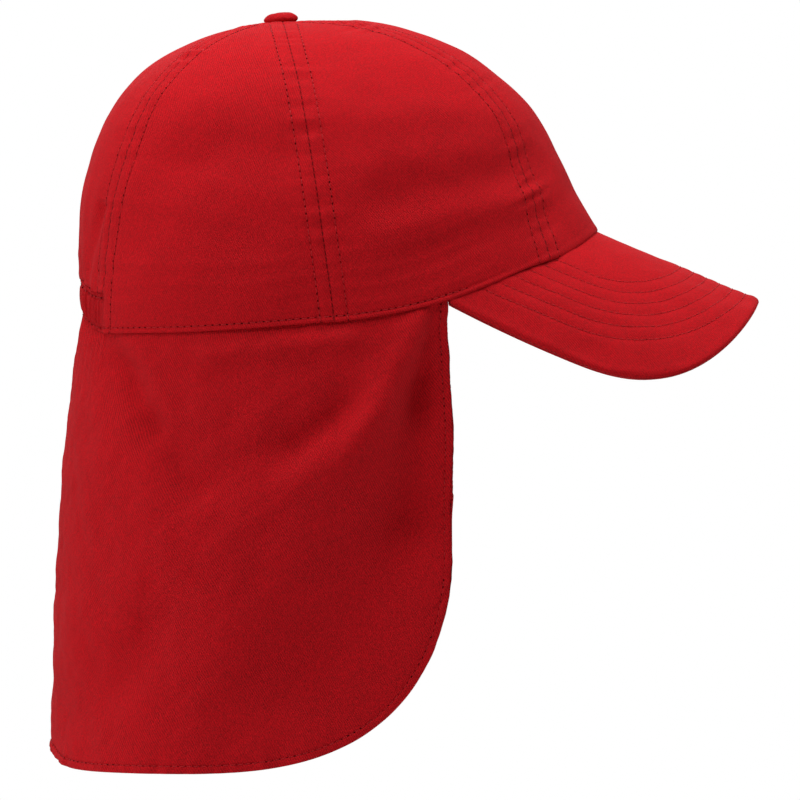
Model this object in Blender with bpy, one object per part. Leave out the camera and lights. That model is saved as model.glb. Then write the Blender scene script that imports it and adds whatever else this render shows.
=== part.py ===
"""Legionnaire cap: six cloth panels, a stitched peak, a gathered elastic and a neck flap.

Metres, +Z up. The cap faces -Y, and +X is the wearer's left. The origin is the middle of
the head opening, level with the lower ends of the side seams. Angles go round the cap
from the middle of the front, 0, over the side, 90, to the middle of the back, 180.
"""

import math
from typing import NamedTuple

import bmesh
import bpy
import numpy as np

# Head opening and crown
OPENING_FRONT = 0.1006
OPENING_BACK = 0.0988
OPENING_HALF_WIDTH = 0.0760
FRONT_ROUNDNESS = 2.3
BACK_ROUNDNESS = 2.6
CROWN_HEIGHT = 0.1180
POLE_SETBACK = 0.0210
RIM_LOWEST = -0.0035
RIM_AT_BACK = 0.0031
RIM_FALL = 3.4

# Cloth and clearances
CLOTH = 0.0012
SEAM_GAP = 0.0003
PEAK_SEAT_GAP = 0.0004


class Seam(NamedTuple):
    """Angles of a seam between two panels, in degrees, where it starts, halfway and ends."""

    at_pole: float
    halfway: float
    at_rim: float


FRONT_SEAM = Seam(28.0, 27.0, 37.0)
SIDE_SEAM = Seam(90.0, 90.0, 90.0)
BACK_SEAM = Seam(143.0, 142.3, 152.5)

# Hole where the panels meet, and the covered button in it
TIP_RADIUS = 0.0040
BUTTON_RADIUS = 0.0066
BUTTON_HEIGHT = 0.0043
BUTTON_STEM_END = 0.0008
BUTTON_SEAT_SHARE = 0.94
BUTTON_RIM_SHARE = 0.12
BUTTON_FULLNESS = 0.6

# Elastic at the back, in its gathered casing
CASING_HEIGHT = 0.0150
CASING_THICKNESS = 0.0030
CASING_SWELL = 0.0006
GATHER_DEPTH = 0.0012
GATHER_PITCH = 0.0046
PUCKER_DEPTH = 0.0011
PUCKER_REACH = 0.0240
PUCKERS = 7

# Peak: a slice of a cylinder that tilts down towards the front
PEAK_TILT = math.radians(22.7)
PEAK_ROOT_HEIGHT = 0.0370
PEAK_LENGTH = 0.0705
PEAK_HALF_WIDTH = 0.0928
PEAK_WIDEST_AT = 0.0064
PEAK_SQUARENESS = 3.4
PEAK_THICKNESS = 0.0030
PEAK_TUCK = 0.0040
PEAK_CORNER = 66.7
PEAK_SIDE_SHARE = 0.38

# Neck flap
FLAP_DROP = 0.1745
FLAP_INSET = 0.0003
FLAP_CLEAR_OF_PEAK = 0.0014
FLAP_CORNER_WIDTH = 0.1060
FLAP_CORNER_HEIGHT = 0.0980
FLAP_CORNER_SQUARENESS = 2.6
FLAP_BACK_RISE = 0.0100
FLAP_BACK_RISE_SPREAD = 12.0
FLAP_BACK_FLARE = 0.0124
FLAP_SIDE_FLARE = 0.0050
FLARE_BEND = 2.4
FLAP_SWAY = 0.0026
FLAP_SWAY_FULL_AT = 0.35
FLAP_SWAY_FROM = 70.0
FLAP_SWAY_TO = 130.0
FOLD_DEPTH = 0.0070
FOLD_WIDTH = 0.0200
FOLDS_FREE_AT = 0.08

# Number of faces, and the steps in which slopes and lengths are worked out
BUTTON_SIDES = 20
BUTTON_RINGS = 5
CROWN_ROWS = 11
FACE_ANGLE = 6.4
PEAK_SPOKES = 28
PEAK_ROWS = 6
FLAP_COLUMNS = 62
FLAP_ROWS = 18
FLAP_EDGE_CROWDING = 1.25
FACES_A_GATHER = 4
CASING_ROWS = 4
ANGLE_STEP = 0.05
SHARE_STEP = 0.002
LENGTH_STEPS = 40


class Section(NamedTuple):
    """How far the crown has come out and down, as shares of its whole way, at one step."""

    front_reach: float
    front_drop: float
    side_reach: float
    side_forward: float
    side_drop: float
    back_reach: float
    back_drop: float


# One section for each tenth of the way from the pole to the rim
CROWN_SECTIONS = (
    Section(0.000, 0.000, 0.000, 0.000, 0.000, 0.000, 0.000),
    Section(0.132, -0.009, 0.206, 0.050, 0.009, 0.204, 0.018),
    Section(0.265, -0.004, 0.405, 0.110, 0.045, 0.402, 0.057),
    Section(0.395, 0.032, 0.589, 0.205, 0.109, 0.587, 0.120),
    Section(0.520, 0.096, 0.747, 0.330, 0.198, 0.745, 0.208),
    Section(0.636, 0.189, 0.862, 0.450, 0.313, 0.871, 0.319),
    Section(0.739, 0.314, 0.941, 0.570, 0.443, 0.953, 0.447),
    Section(0.825, 0.465, 0.985, 0.685, 0.580, 1.003, 0.582),
    Section(0.888, 0.640, 1.003, 0.790, 0.720, 1.018, 0.721),
    Section(0.942, 0.821, 1.006, 0.900, 0.860, 1.014, 0.861),
    Section(1.000, 1.000, 1.000, 1.000, 1.000, 1.000, 1.000),
)


class Fold(NamedTuple):
    """A ridge or valley of the flap: angles in degrees, falls as shares of the flap's drop,
    and its width and depth as shares of the largest ones, with valleys below zero."""

    name: str
    start_angle: float
    start_fall: float
    end_angle: float
    end_fall: float
    width: float
    depth: float


FLAP_FOLDS = (
    Fold("valley under the peak's corner", 69.0, 0.04, 75.0, 0.20, 0.45, -0.60),
    Fold("valley along the front edge", 75.0, 0.20, 77.0, 0.46, 0.60, -0.90),
    Fold("valley that runs out low down", 77.0, 0.46, 94.0, 0.75, 0.95, -0.80),
    Fold("ridge from the peak's corner", 74.0, 0.05, 83.0, 0.20, 0.40, 0.35),
    Fold("ridge across the side", 83.0, 0.20, 95.0, 0.34, 0.55, 0.45),
    Fold("short valley behind the ridge", 88.0, 0.18, 98.0, 0.28, 0.45, -0.40),
    Fold("valley from the back seam", 143.0, 0.05, 114.0, 0.33, 0.50, -0.45),
    Fold("swell of the back half", 138.0, 0.30, 122.0, 0.50, 1.30, 0.40),
    Fold("low valley towards the back", 160.0, 0.86, 123.0, 0.62, 0.85, -0.50),
)

CLOTH_RED = (0.356, 0.010, 0.016, 1.0)
PEAK_RED = (0.400, 0.012, 0.018, 1.0)


def smooth_step(value):
    """Go smoothly from 0 to 1 as the value does."""
    held = min(max(value, 0.0), 1.0)
    return held * held * (3.0 - 2.0 * held)


def from_front(angle):
    """Fold an angle of either side into 0 to 180 degrees from the middle of the front."""
    return abs((angle + 180.0) % 360.0 - 180.0)


def section_at(share):
    """Read the crown's table at any share, along a smooth curve through its rows."""
    last = len(CROWN_SECTIONS) - 1
    place = min(max(share, 0.0), 1.0) * last
    row = min(int(place), last - 1)
    local = place - row
    near = [CROWN_SECTIONS[min(max(row + step, 0), last)] for step in (-1, 0, 1, 2)]
    before, start, end, after = (np.array(entry) for entry in near)
    start_slope = (end - before) / (2.0 if row > 0 else 1.0)
    end_slope = (after - start) / (2.0 if row < last - 1 else 1.0)
    square = local * local
    cube = square * local
    curve = ((2.0 * cube - 3.0 * square + 1.0) * start + (cube - 2.0 * square + local) * start_slope
             + (3.0 * square - 2.0 * cube) * end + (cube - square) * end_slope)
    return Section(*curve)


def plan_shares(angle):
    """Give the shares of the sideways and lengthways reach that an angle has in plan."""
    turn = math.radians(angle)
    roundness = FRONT_ROUNDNESS if math.cos(turn) > 0.0 else BACK_ROUNDNESS
    across = math.copysign(abs(math.sin(turn)) ** (2.0 / roundness), math.sin(turn))
    along = math.copysign(abs(math.cos(turn)) ** (2.0 / roundness), math.cos(turn))
    return across, along


def rim_plan(angle):
    """Give a point of the rim seen from above: sideways and forwards of the origin."""
    across, along = plan_shares(angle)
    reach = OPENING_FRONT if along > 0.0 else OPENING_BACK
    return np.array((OPENING_HALF_WIDTH * across, reach * along))


def rim_outward(angle):
    """Give the direction that points out of the rim, seen from above."""
    along = rim_plan(angle + ANGLE_STEP) - rim_plan(angle - ANGLE_STEP)
    outward = np.array((-along[1], along[0]))
    return outward / np.linalg.norm(outward)


def rim_angle_step(angle, length):
    """Turn a length along the rim into degrees."""
    travelled = np.linalg.norm(rim_plan(angle + ANGLE_STEP) - rim_plan(angle - ANGLE_STEP))
    return length * 2.0 * ANGLE_STEP / travelled


def arch_height(sideways, forwards, lift=0.0):
    """Height of the peak's arch, or of one that lies outside it by the lift."""
    arch_radius = OPENING_HALF_WIDTH
    drop = arch_radius - math.sqrt((arch_radius + lift) ** 2 - sideways ** 2)
    ahead = forwards - OPENING_FRONT
    return PEAK_ROOT_HEIGHT - ahead * math.tan(PEAK_TILT) - drop / math.cos(PEAK_TILT)


def rim_height(angle):
    """Height of the crown's lower edge: on the peak in front, level at the side, up behind."""
    turn = from_front(angle)
    seam = BACK_SEAM.at_rim
    if turn <= PEAK_CORNER:
        return arch_height(*rim_plan(angle), PEAK_SEAT_GAP)
    if turn <= seam:
        corner = arch_height(*rim_plan(PEAK_CORNER), PEAK_SEAT_GAP)
        left = (seam - turn) / (seam - PEAK_CORNER)
        return RIM_LOWEST + (corner - RIM_LOWEST) * left ** RIM_FALL
    return RIM_LOWEST + (RIM_AT_BACK - RIM_LOWEST) * smooth_step((turn - seam) / (180.0 - seam))


def crown_point(angle, share):
    """Outside of the crown, at an angle and a share of the way from the pole to the rim."""
    section = section_at(share)
    across, along = plan_shares(angle)
    middle = -POLE_SETBACK * (1.0 - section.side_forward)
    if along > 0.0:
        tip = -POLE_SETBACK + (OPENING_FRONT + POLE_SETBACK) * section.front_reach
        tip_drop = section.front_drop
    else:
        tip = -POLE_SETBACK - (OPENING_BACK - POLE_SETBACK) * section.back_reach
        tip_drop = section.back_drop
    sideways = OPENING_HALF_WIDTH * section.side_reach * across
    forwards = middle + (tip - middle) * abs(along)
    drop = section.side_drop + (tip_drop - section.side_drop) * (1.0 - across * across)
    height = CROWN_HEIGHT + (rim_height(angle) - CROWN_HEIGHT) * drop
    return np.array((sideways, -forwards, height))


def outward_at(surface, angle, share):
    """Outward direction of a surface given as a function of an angle and a share."""
    low = max(share - SHARE_STEP, 0.0)
    high = min(share + SHARE_STEP, 1.0)
    across = surface(angle + ANGLE_STEP, share) - surface(angle - ANGLE_STEP, share)
    down = surface(angle, high) - surface(angle, low)
    outward = np.cross(down, across)
    return outward / np.linalg.norm(outward)


def path_length(points):
    """Length of a path through a row of points."""
    return sum(np.linalg.norm(after - before) for before, after in zip(points, points[1:]))


def crown_length(angle):
    """Length of the crown's cloth from the pole to the rim at an angle."""
    return path_length([crown_point(angle, share) for share in spaced(0.0, 1.0, LENGTH_STEPS)])


def crown_inside(angle, share, thickness=CLOTH):
    """Inside of the crown's wall, whose lower edge stays on the peak where it has one."""
    outside = crown_point(angle, share)
    inside = outside - outward_at(crown_point, angle, share) * thickness
    if share >= 1.0:
        on_peak = from_front(angle) <= PEAK_CORNER
        inside[2] = arch_height(inside[0], -inside[1], PEAK_SEAT_GAP) if on_peak else outside[2]
    return inside


def seam_angle(seam, share):
    """Angle of a seam at a share of the way from the pole to the rim."""
    return (seam.at_pole * (1.0 - share) * (1.0 - 2.0 * share)
            + seam.halfway * 4.0 * share * (1.0 - share)
            + seam.at_rim * share * (2.0 * share - 1.0))


def tip_share():
    """Share of the crown at which the panels end round the button's stem."""
    return TIP_RADIUS / crown_length(90.0)


def casing_share():
    """Share of the crown at which the elastic's casing starts."""
    return 1.0 - CASING_HEIGHT / crown_length(180.0)


def cloth_material(name, colour, roughness):
    """Make a plain cloth material."""
    material = bpy.data.materials.new(name)
    material.use_nodes = True
    shader = material.node_tree.nodes["Principled BSDF"]
    shader.inputs["Base Color"].default_value = colour
    shader.inputs["Roughness"].default_value = roughness
    shader.inputs["Metallic"].default_value = 0.0
    return material


def add_object(name, mesh_builder, material, smooth_angle=40.0):
    """Turn a finished bmesh into an object with its normals out and its round parts smooth."""
    bmesh.ops.recalc_face_normals(mesh_builder, faces=mesh_builder.faces)
    mesh = bpy.data.meshes.new(name)
    mesh_builder.to_mesh(mesh)
    mesh_builder.free()
    mesh.materials.append(material)
    mesh.shade_smooth()
    mesh.set_sharp_from_angle(angle=math.radians(smooth_angle))
    placed = bpy.data.objects.new(name, mesh)
    bpy.context.scene.collection.objects.link(placed)
    return placed


def cloth_wall(outside, inside, lower_edge=None):
    """Join two grids of points, row by row, into one closed wall.

    A lower edge, if given, is a row of points between the last rows of the two grids.
    """
    wall = bmesh.new()
    outer = [[wall.verts.new(point) for point in row] for row in outside]
    inner = [[wall.verts.new(point) for point in row] for row in inside]
    middle = [wall.verts.new(point) for point in lower_edge] if lower_edge else None
    rows = range(len(outer) - 1)
    columns = range(len(outer[0]) - 1)
    for grid in (outer, inner):
        for row in rows:
            for column in columns:
                wall.faces.new((grid[row][column], grid[row][column + 1],
                                grid[row + 1][column + 1], grid[row + 1][column]))
    for row in rows:
        for column in (0, -1):
            wall.faces.new((outer[row][column], outer[row + 1][column],
                            inner[row + 1][column], inner[row][column]))
    for column in columns:
        wall.faces.new((outer[0][column], outer[0][column + 1],
                        inner[0][column + 1], inner[0][column]))
    edges = [outer[-1], middle, inner[-1]] if middle else [outer[-1], inner[-1]]
    for one, other in zip(edges, edges[1:]):
        for column in columns:
            wall.faces.new((one[column], one[column + 1], other[column + 1], other[column]))
    if middle:
        for column in (0, -1):
            wall.faces.new((outer[-1][column], middle[column], inner[-1][column]))
    return wall


def spaced(start, end, count):
    """Evenly spaced values, with both ends among them."""
    return [start + (end - start) * step / count for step in range(count + 1)]


def panel_angles(start, end, share):
    """Angles of a panel's columns at one share, with one on the peak's corner if it is inside."""
    first = seam_angle(start, share)
    last = seam_angle(end, share)
    corners = [first, last]
    for corner in (-PEAK_CORNER, PEAK_CORNER):
        if start.at_rim < corner < end.at_rim:
            part = (corner - start.at_rim) / (end.at_rim - start.at_rim)
            corners.insert(1, first + (last - first) * part)
    angles = [first]
    for begin, finish in zip(corners, corners[1:]):
        widest = (finish - begin) / (last - first) * (end.at_rim - start.at_rim)
        angles += spaced(begin, finish, max(round(widest / FACE_ANGLE), 2))[1:]
    return angles


def narrow_ends(points, gap):
    """Move the two end points of a row inwards by half of a seam's gap."""
    for end, neighbour in ((0, 1), (-1, -2)):
        inward = points[neighbour] - points[end]
        points[end] = points[end] + inward / np.linalg.norm(inward) * gap / 2.0
    return points


def mirrored(seam, whole_turn=0.0):
    """The same seam on the other side of the cap."""
    return Seam(*(whole_turn - angle for angle in seam))


def back_pucker(angle, share):
    """How far the back panel stands out where the elastic draws its lower end together."""
    above = max(casing_share() - share, 0.0) * crown_length(180.0)
    seam = seam_angle(BACK_SEAM, share)
    part = (angle - seam) / (360.0 - 2.0 * seam)
    fade = math.sin(math.pi * min(max(part, 0.0), 1.0)) ** 0.5
    wave = math.cos(2.0 * math.pi * PUCKERS * part)
    return -PUCKER_DEPTH * fade * (0.5 - 0.5 * wave) * math.exp(-above / PUCKER_REACH)


def make_panel(name, start, end, material, last_share=1.0, puckered=False):
    """Make one panel of the crown between two seams."""
    outside = []
    inside = []
    for share in spaced(tip_share(), last_share, CROWN_ROWS):
        angles = panel_angles(start, end, share)
        outer = [crown_point(angle, share) for angle in angles]
        inner = [crown_inside(angle, share) for angle in angles]
        if puckered:
            shifts = [outward_at(crown_point, angle, share) * back_pucker(angle, share)
                      for angle in angles]
            outer = [point + shift for point, shift in zip(outer, shifts)]
            inner = [point + shift for point, shift in zip(inner, shifts)]
        outside.append(narrow_ends(outer, SEAM_GAP))
        inside.append(narrow_ends(inner, SEAM_GAP))
    return add_object(name, cloth_wall(outside, inside), material)


def make_crown(material):
    """Make the six panels: front, back, and two on each side."""
    back_end = casing_share() - SEAM_GAP / crown_length(180.0)
    make_panel("panel_front", mirrored(FRONT_SEAM), FRONT_SEAM, material)
    make_panel("panel_side_front_left", FRONT_SEAM, SIDE_SEAM, material)
    make_panel("panel_side_back_left", SIDE_SEAM, BACK_SEAM, material)
    make_panel("panel_side_front_right", mirrored(SIDE_SEAM), mirrored(FRONT_SEAM), material)
    make_panel("panel_side_back_right", mirrored(BACK_SEAM), mirrored(SIDE_SEAM), material)
    make_panel("panel_back", BACK_SEAM, mirrored(BACK_SEAM, 360.0), material, back_end, puckered=True)


def make_casing(material):
    """Make the gathered casing of the elastic, along the rim between the back seams."""
    start = casing_share()
    at_rim = BACK_SEAM.at_rim
    across = spaced(at_rim, 360.0 - at_rim, LENGTH_STEPS)
    width = path_length([crown_point(angle, 1.0) for angle in across])
    gathers = max(round(width / GATHER_PITCH), 1)
    columns = gathers * FACES_A_GATHER
    outside = []
    inside = []
    for share in spaced(start, 1.0, CASING_ROWS):
        seam = seam_angle(BACK_SEAM, share)
        height = (share - start) / (1.0 - start)
        swell = CASING_SWELL * (math.sin(math.pi * height) - 1.0)
        outer = []
        inner = []
        for step, angle in enumerate(spaced(seam, 360.0 - seam, columns)):
            part = step / columns
            fade = min(1.0, gathers * min(part, 1.0 - part))
            ripple = GATHER_DEPTH * fade * (math.cos(2.0 * math.pi * gathers * part) - 1.0) / 2.0
            outward = outward_at(crown_point, angle, share)
            point = crown_point(angle, share)
            outer.append(point + outward * (swell + ripple))
            inside_point = point + outward * (ripple / 2.0 - CASING_THICKNESS)
            inside_point[2] = point[2] if share >= 1.0 else inside_point[2]
            inner.append(inside_point)
        outside.append(narrow_ends(outer, SEAM_GAP))
        inside.append(narrow_ends(inner, SEAM_GAP))
    return add_object("elastic_casing", cloth_wall(outside, inside), material)


def make_button(material):
    """Make the covered button, whose stem fills the hole where the panels meet."""
    ahead = crown_point(0.0, tip_share())
    behind = crown_point(180.0, tip_share())
    tilt = math.atan2(ahead[2] - behind[2], behind[1] - ahead[1])
    stem = TIP_RADIUS - SEAM_GAP - (1.0 - math.cos(math.pi / BUTTON_SIDES)) * TIP_RADIUS
    dome = BUTTON_HEIGHT - SEAM_GAP
    seat = max(BUTTON_RADIUS * BUTTON_SEAT_SHARE, stem + SEAM_GAP)
    profile = [(stem, -CLOTH - BUTTON_STEM_END), (stem, SEAM_GAP), (seat, SEAM_GAP)]
    for ring in range(BUTTON_RINGS):
        lean = math.pi / 2.0 * (ring + 0.5) / BUTTON_RINGS
        rise = BUTTON_RIM_SHARE + (1.0 - BUTTON_RIM_SHARE) * math.sin(lean)
        profile.append((BUTTON_RADIUS * math.cos(lean) ** BUTTON_FULLNESS, SEAM_GAP + dome * rise))
    button = bmesh.new()
    rings = []
    for radius, height in profile:
        ring = []
        for side in range(BUTTON_SIDES):
            turn = 2.0 * math.pi * side / BUTTON_SIDES
            ring.append(button.verts.new((radius * math.cos(turn), radius * math.sin(turn), height)))
        rings.append(ring)
    for lower, upper in zip(rings, rings[1:]):
        for side in range(BUTTON_SIDES):
            after = (side + 1) % BUTTON_SIDES
            button.faces.new((lower[side], lower[after], upper[after], upper[side]))
    button.faces.new(rings[0])
    crest = button.verts.new((0.0, 0.0, SEAM_GAP + dome))
    for side in range(BUTTON_SIDES):
        button.faces.new((rings[-1][side], rings[-1][(side + 1) % BUTTON_SIDES], crest))
    placed = add_object("top_button", button, material, 50.0)
    placed.location = (0.0, POLE_SETBACK, CROWN_HEIGHT)
    placed.rotation_euler = (-tilt, 0.0, 0.0)
    return placed


def peak_point(sideways, ahead, depth):
    """Place a point of the flat peak on its arch: lengths along the cloth, depth below it."""
    arch_radius = OPENING_HALF_WIDTH
    turn = sideways / arch_radius
    drop = arch_radius - (arch_radius - depth) * math.cos(turn)
    forwards = OPENING_FRONT + ahead * math.cos(PEAK_TILT) - drop * math.sin(PEAK_TILT)
    height = PEAK_ROOT_HEIGHT - ahead * math.sin(PEAK_TILT) - drop * math.cos(PEAK_TILT)
    return np.array(((arch_radius - depth) * math.sin(turn), -forwards, height))


def peak_root(angle, tuck):
    """Point of the flat peak under the crown's rim, moved inside by the tuck."""
    sideways, forwards = rim_plan(angle) - rim_outward(angle) * tuck
    arch_radius = OPENING_HALF_WIDTH
    turn = math.asin(sideways / arch_radius)
    drop = arch_radius * (1.0 - math.cos(turn))
    ahead = (forwards - OPENING_FRONT + drop * math.sin(PEAK_TILT)) / math.cos(PEAK_TILT)
    return np.array((arch_radius * turn, ahead))


def peak_outline(share):
    """Outer edge of the flat peak, from one corner, -1, over the front, 0, to the other, 1."""
    side = abs(share)
    corner = peak_root(PEAK_CORNER, 0.0)
    if side > 1.0 - PEAK_SIDE_SHARE:
        part = (side - 1.0 + PEAK_SIDE_SHARE) / PEAK_SIDE_SHARE
        sideways = PEAK_HALF_WIDTH + (corner[0] - PEAK_HALF_WIDTH) * part * part
        ahead = PEAK_WIDEST_AT + (corner[1] - PEAK_WIDEST_AT) * part
    else:
        lean = (1.0 - side / (1.0 - PEAK_SIDE_SHARE)) * math.pi / 2.0
        reach = (math.cos(lean) ** PEAK_SQUARENESS
                 + math.sin(lean) ** PEAK_SQUARENESS) ** (-1.0 / PEAK_SQUARENESS)
        sideways = PEAK_HALF_WIDTH * reach * math.cos(lean)
        ahead = PEAK_WIDEST_AT + (PEAK_LENGTH - PEAK_WIDEST_AT) * reach * math.sin(lean)
    return np.array((math.copysign(sideways, share), ahead))


def make_peak(material):
    """Make the peak, from its root under the crown's rim to its rounded outer edge."""
    corner = PEAK_CORNER - rim_angle_step(PEAK_CORNER, SEAM_GAP)
    half = PEAK_THICKNESS / 2.0
    upper = []
    lower = []
    edge = []
    for row in range(PEAK_ROWS + 1):
        part = row / PEAK_ROWS
        top = []
        bottom = []
        for share in spaced(-1.0, 1.0, PEAK_SPOKES):
            root = peak_root(corner * share, PEAK_TUCK)
            rim = peak_outline(share)
            spoke = rim - root
            pull = half / np.linalg.norm(spoke)
            flat = root + spoke * part * (1.0 - pull)
            top.append(peak_point(*flat, 0.0))
            bottom.append(peak_point(*flat, PEAK_THICKNESS))
            if row == PEAK_ROWS:
                edge.append(peak_point(*rim, half))
        upper.append(top)
        lower.append(bottom)
    return add_object("peak", cloth_wall(upper, lower, edge), material)


def flap_start():
    """Angle of the flap's front edge, just behind the peak's corner."""
    return PEAK_CORNER + rim_angle_step(PEAK_CORNER, FLAP_CLEAR_OF_PEAK)


def rim_travel(angle):
    """Length of the rim from the flap's front edge to an angle."""
    return path_length([rim_plan(turn) for turn in spaced(flap_start(), angle, LENGTH_STEPS)])


def hem_height(angle):
    """Height of the flap's lower edge below a point of the rim, with its round front corner."""
    turn = from_front(angle)
    behind = (rim_plan(flap_start())[1] - rim_plan(turn)[1]) / FLAP_CORNER_WIDTH
    left = max(1.0 - max(behind, 0.0), 0.0)
    squareness = FLAP_CORNER_SQUARENESS
    corner = (1.0 - left ** squareness) ** (1.0 / squareness)
    from_back = (180.0 - turn) / FLAP_BACK_RISE_SPREAD
    return (FLAP_CORNER_HEIGHT * (1.0 - corner) - FLAP_DROP
            + FLAP_BACK_RISE / (1.0 + from_back * from_back))


def fold_shift(travel, fall, travels):
    """How far the folds push the flap out at a length along the rim and a fall below it."""
    shift = 0.0
    for fold, (start_travel, end_travel) in zip(FLAP_FOLDS, travels):
        start = np.array((start_travel, fold.start_fall * FLAP_DROP))
        run = np.array((end_travel, fold.end_fall * FLAP_DROP)) - start
        from_start = np.array((travel, fall)) - start
        along = min(max(np.dot(from_start, run) / np.dot(run, run), 0.0), 1.0)
        away = np.linalg.norm(from_start - run * along) / (FOLD_WIDTH * fold.width)
        shift += FOLD_DEPTH * fold.depth * math.exp(-away * away)
    return shift


def make_flap_surface():
    """Give the function that places the outside of the flap at an angle and a share down it."""
    travels = [(rim_travel(fold.start_angle), rim_travel(fold.end_angle)) for fold in FLAP_FOLDS]

    def place(angle, share):
        turn = from_front(angle)
        top_plan = rim_plan(angle) - rim_outward(angle) * FLAP_INSET
        top = rim_height(turn) - SEAM_GAP
        fall = (top - hem_height(turn)) * share
        part = fall / FLAP_DROP
        behind = max(-math.cos(math.radians(angle)), 0.0)
        flare = FLAP_SIDE_FLARE + (FLAP_BACK_FLARE - FLAP_SIDE_FLARE) * behind * behind
        spread = flare * (1.0 - math.exp(-FLARE_BEND * part)) / (1.0 - math.exp(-FLARE_BEND))
        held = smooth_step(part / FOLDS_FREE_AT)
        out = spread + held * fold_shift(rim_travel(turn), fall, travels)
        sideways, forwards = top_plan + rim_outward(angle) * out
        near_front = smooth_step((FLAP_SWAY_TO - turn) / (FLAP_SWAY_TO - FLAP_SWAY_FROM))
        forwards += FLAP_SWAY * smooth_step(part / FLAP_SWAY_FULL_AT) * near_front
        return np.array((sideways, -forwards, top - fall))

    return place


def flap_angles():
    """Angles of the flap's columns, closer together near its two front edges."""
    start = flap_start()
    half = FLAP_COLUMNS // 2
    left = [start + (180.0 - start) * (step / half) ** FLAP_EDGE_CROWDING for step in range(half + 1)]
    return left + [360.0 - angle for angle in reversed(left[:-1])]


def make_flap(material):
    """Make the neck flap as one sheet of cloth that hangs from the rim."""
    surface = make_flap_surface()
    outside = []
    inside = []
    for share in spaced(0.0, 1.0, FLAP_ROWS):
        outer = [surface(angle, share) for angle in flap_angles()]
        inner = [point - outward_at(surface, angle, share) * CLOTH
                 for point, angle in zip(outer, flap_angles())]
        if share == 0.0:
            for point, below in zip(inner, outer):
                point[2] = below[2]
        outside.append(outer)
        inside.append(inner)
    return add_object("neck_flap", cloth_wall(outside, inside), material)


def main():
    """Clear the scene and build the cap."""
    for old in list(bpy.data.objects):
        bpy.data.objects.remove(old, do_unlink=True)
    make_crown(cloth_material("crown_twill", CLOTH_RED, 0.85))
    make_button(cloth_material("button_twill", CLOTH_RED, 0.80))
    make_casing(cloth_material("casing_twill", CLOTH_RED, 0.85))
    make_peak(cloth_material("peak_twill", PEAK_RED, 0.80))
    make_flap(cloth_material("flap_twill", CLOTH_RED, 0.88))


main()
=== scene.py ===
"""Dresses the legionnaire cap: sewn cloth, stitches, twill, and the studio it is seen in."""
import math
from typing import NamedTuple

import bpy
import numpy as np
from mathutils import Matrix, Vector

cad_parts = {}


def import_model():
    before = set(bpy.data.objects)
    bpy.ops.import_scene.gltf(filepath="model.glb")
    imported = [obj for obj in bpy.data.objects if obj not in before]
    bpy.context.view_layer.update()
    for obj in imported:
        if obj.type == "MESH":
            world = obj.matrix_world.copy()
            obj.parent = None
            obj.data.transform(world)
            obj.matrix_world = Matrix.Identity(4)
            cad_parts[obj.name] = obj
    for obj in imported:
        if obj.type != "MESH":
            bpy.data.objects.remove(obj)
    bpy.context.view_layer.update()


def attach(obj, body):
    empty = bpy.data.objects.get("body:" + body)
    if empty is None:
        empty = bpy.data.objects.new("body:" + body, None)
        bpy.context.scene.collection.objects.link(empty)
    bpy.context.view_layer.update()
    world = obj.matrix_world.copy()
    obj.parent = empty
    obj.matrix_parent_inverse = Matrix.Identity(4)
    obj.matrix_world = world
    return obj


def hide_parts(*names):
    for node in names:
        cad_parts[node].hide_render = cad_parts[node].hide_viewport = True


MM = 0.001

# Head opening and crown
OPENING_FRONT = 0.1006
OPENING_BACK = 0.0988
OPENING_HALF_WIDTH = 0.0760
FRONT_ROUNDNESS = 2.3
BACK_ROUNDNESS = 2.6
CROWN_HEIGHT = 0.1180
POLE_SETBACK = 0.0210
RIM_LOWEST = -0.0035
RIM_AT_BACK = 0.0031
RIM_FALL = 3.4
CLOTH = 0.0012
SEAM_GAP = 0.0003
PEAK_SEAT_GAP = 0.0004
TIP_RADIUS = 0.0040

# Button
BUTTON_RADIUS = 0.0066
BUTTON_HEIGHT = 0.0043

# Elastic and its casing
CASING_HEIGHT = 0.0150
CASING_THICKNESS = 0.0030
CASING_SWELL = 0.0006
GATHER_DEPTH = 0.0012
GATHERS = 18
PUCKER_DEPTH = 0.0011
PUCKER_REACH = 0.0240
PUCKERS = 7

# Peak
PEAK_TILT = math.radians(22.7)
PEAK_ROOT_HEIGHT = 0.0370
PEAK_LENGTH = 0.0705
PEAK_HALF_WIDTH = 0.0928
PEAK_WIDEST_AT = 0.0074
PEAK_SQUARENESS = 3.0
PEAK_THICKNESS = 0.0030
PEAK_TUCK = 0.0040
PEAK_CORNER = 66.7
PEAK_SIDE_SHARE = 0.38

# Neck flap
FLAP_DROP = 0.1745
FLAP_INSET = 0.0003
FLAP_CLEAR_OF_PEAK = 0.0005
FLAP_CORNER_WIDTH = 0.1060
FLAP_CORNER_HEIGHT = 0.0980
FLAP_CORNER_SQUARENESS = 2.6
FLAP_BACK_RISE = 0.0100
FLAP_BACK_RISE_SPREAD = 12.0
FLAP_BACK_FLARE = 0.0124
FLAP_SIDE_FLARE = 0.0050
FLARE_BEND = 2.4
FLAP_SWAY = 0.0026
FLAP_SWAY_FULL_AT = 0.35
FLAP_SWAY_FROM = 70.0
FLAP_SWAY_TO = 130.0
FOLD_DEPTH = 0.0070
FOLD_WIDTH = 0.0200
FOLDS_FREE_AT = 0.08
FLAP_SINK = 0.0100
FLAP_SINK_WIDTH = 0.0600
FLAP_INSIDE = (0.0, 0.0, -0.06)

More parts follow.
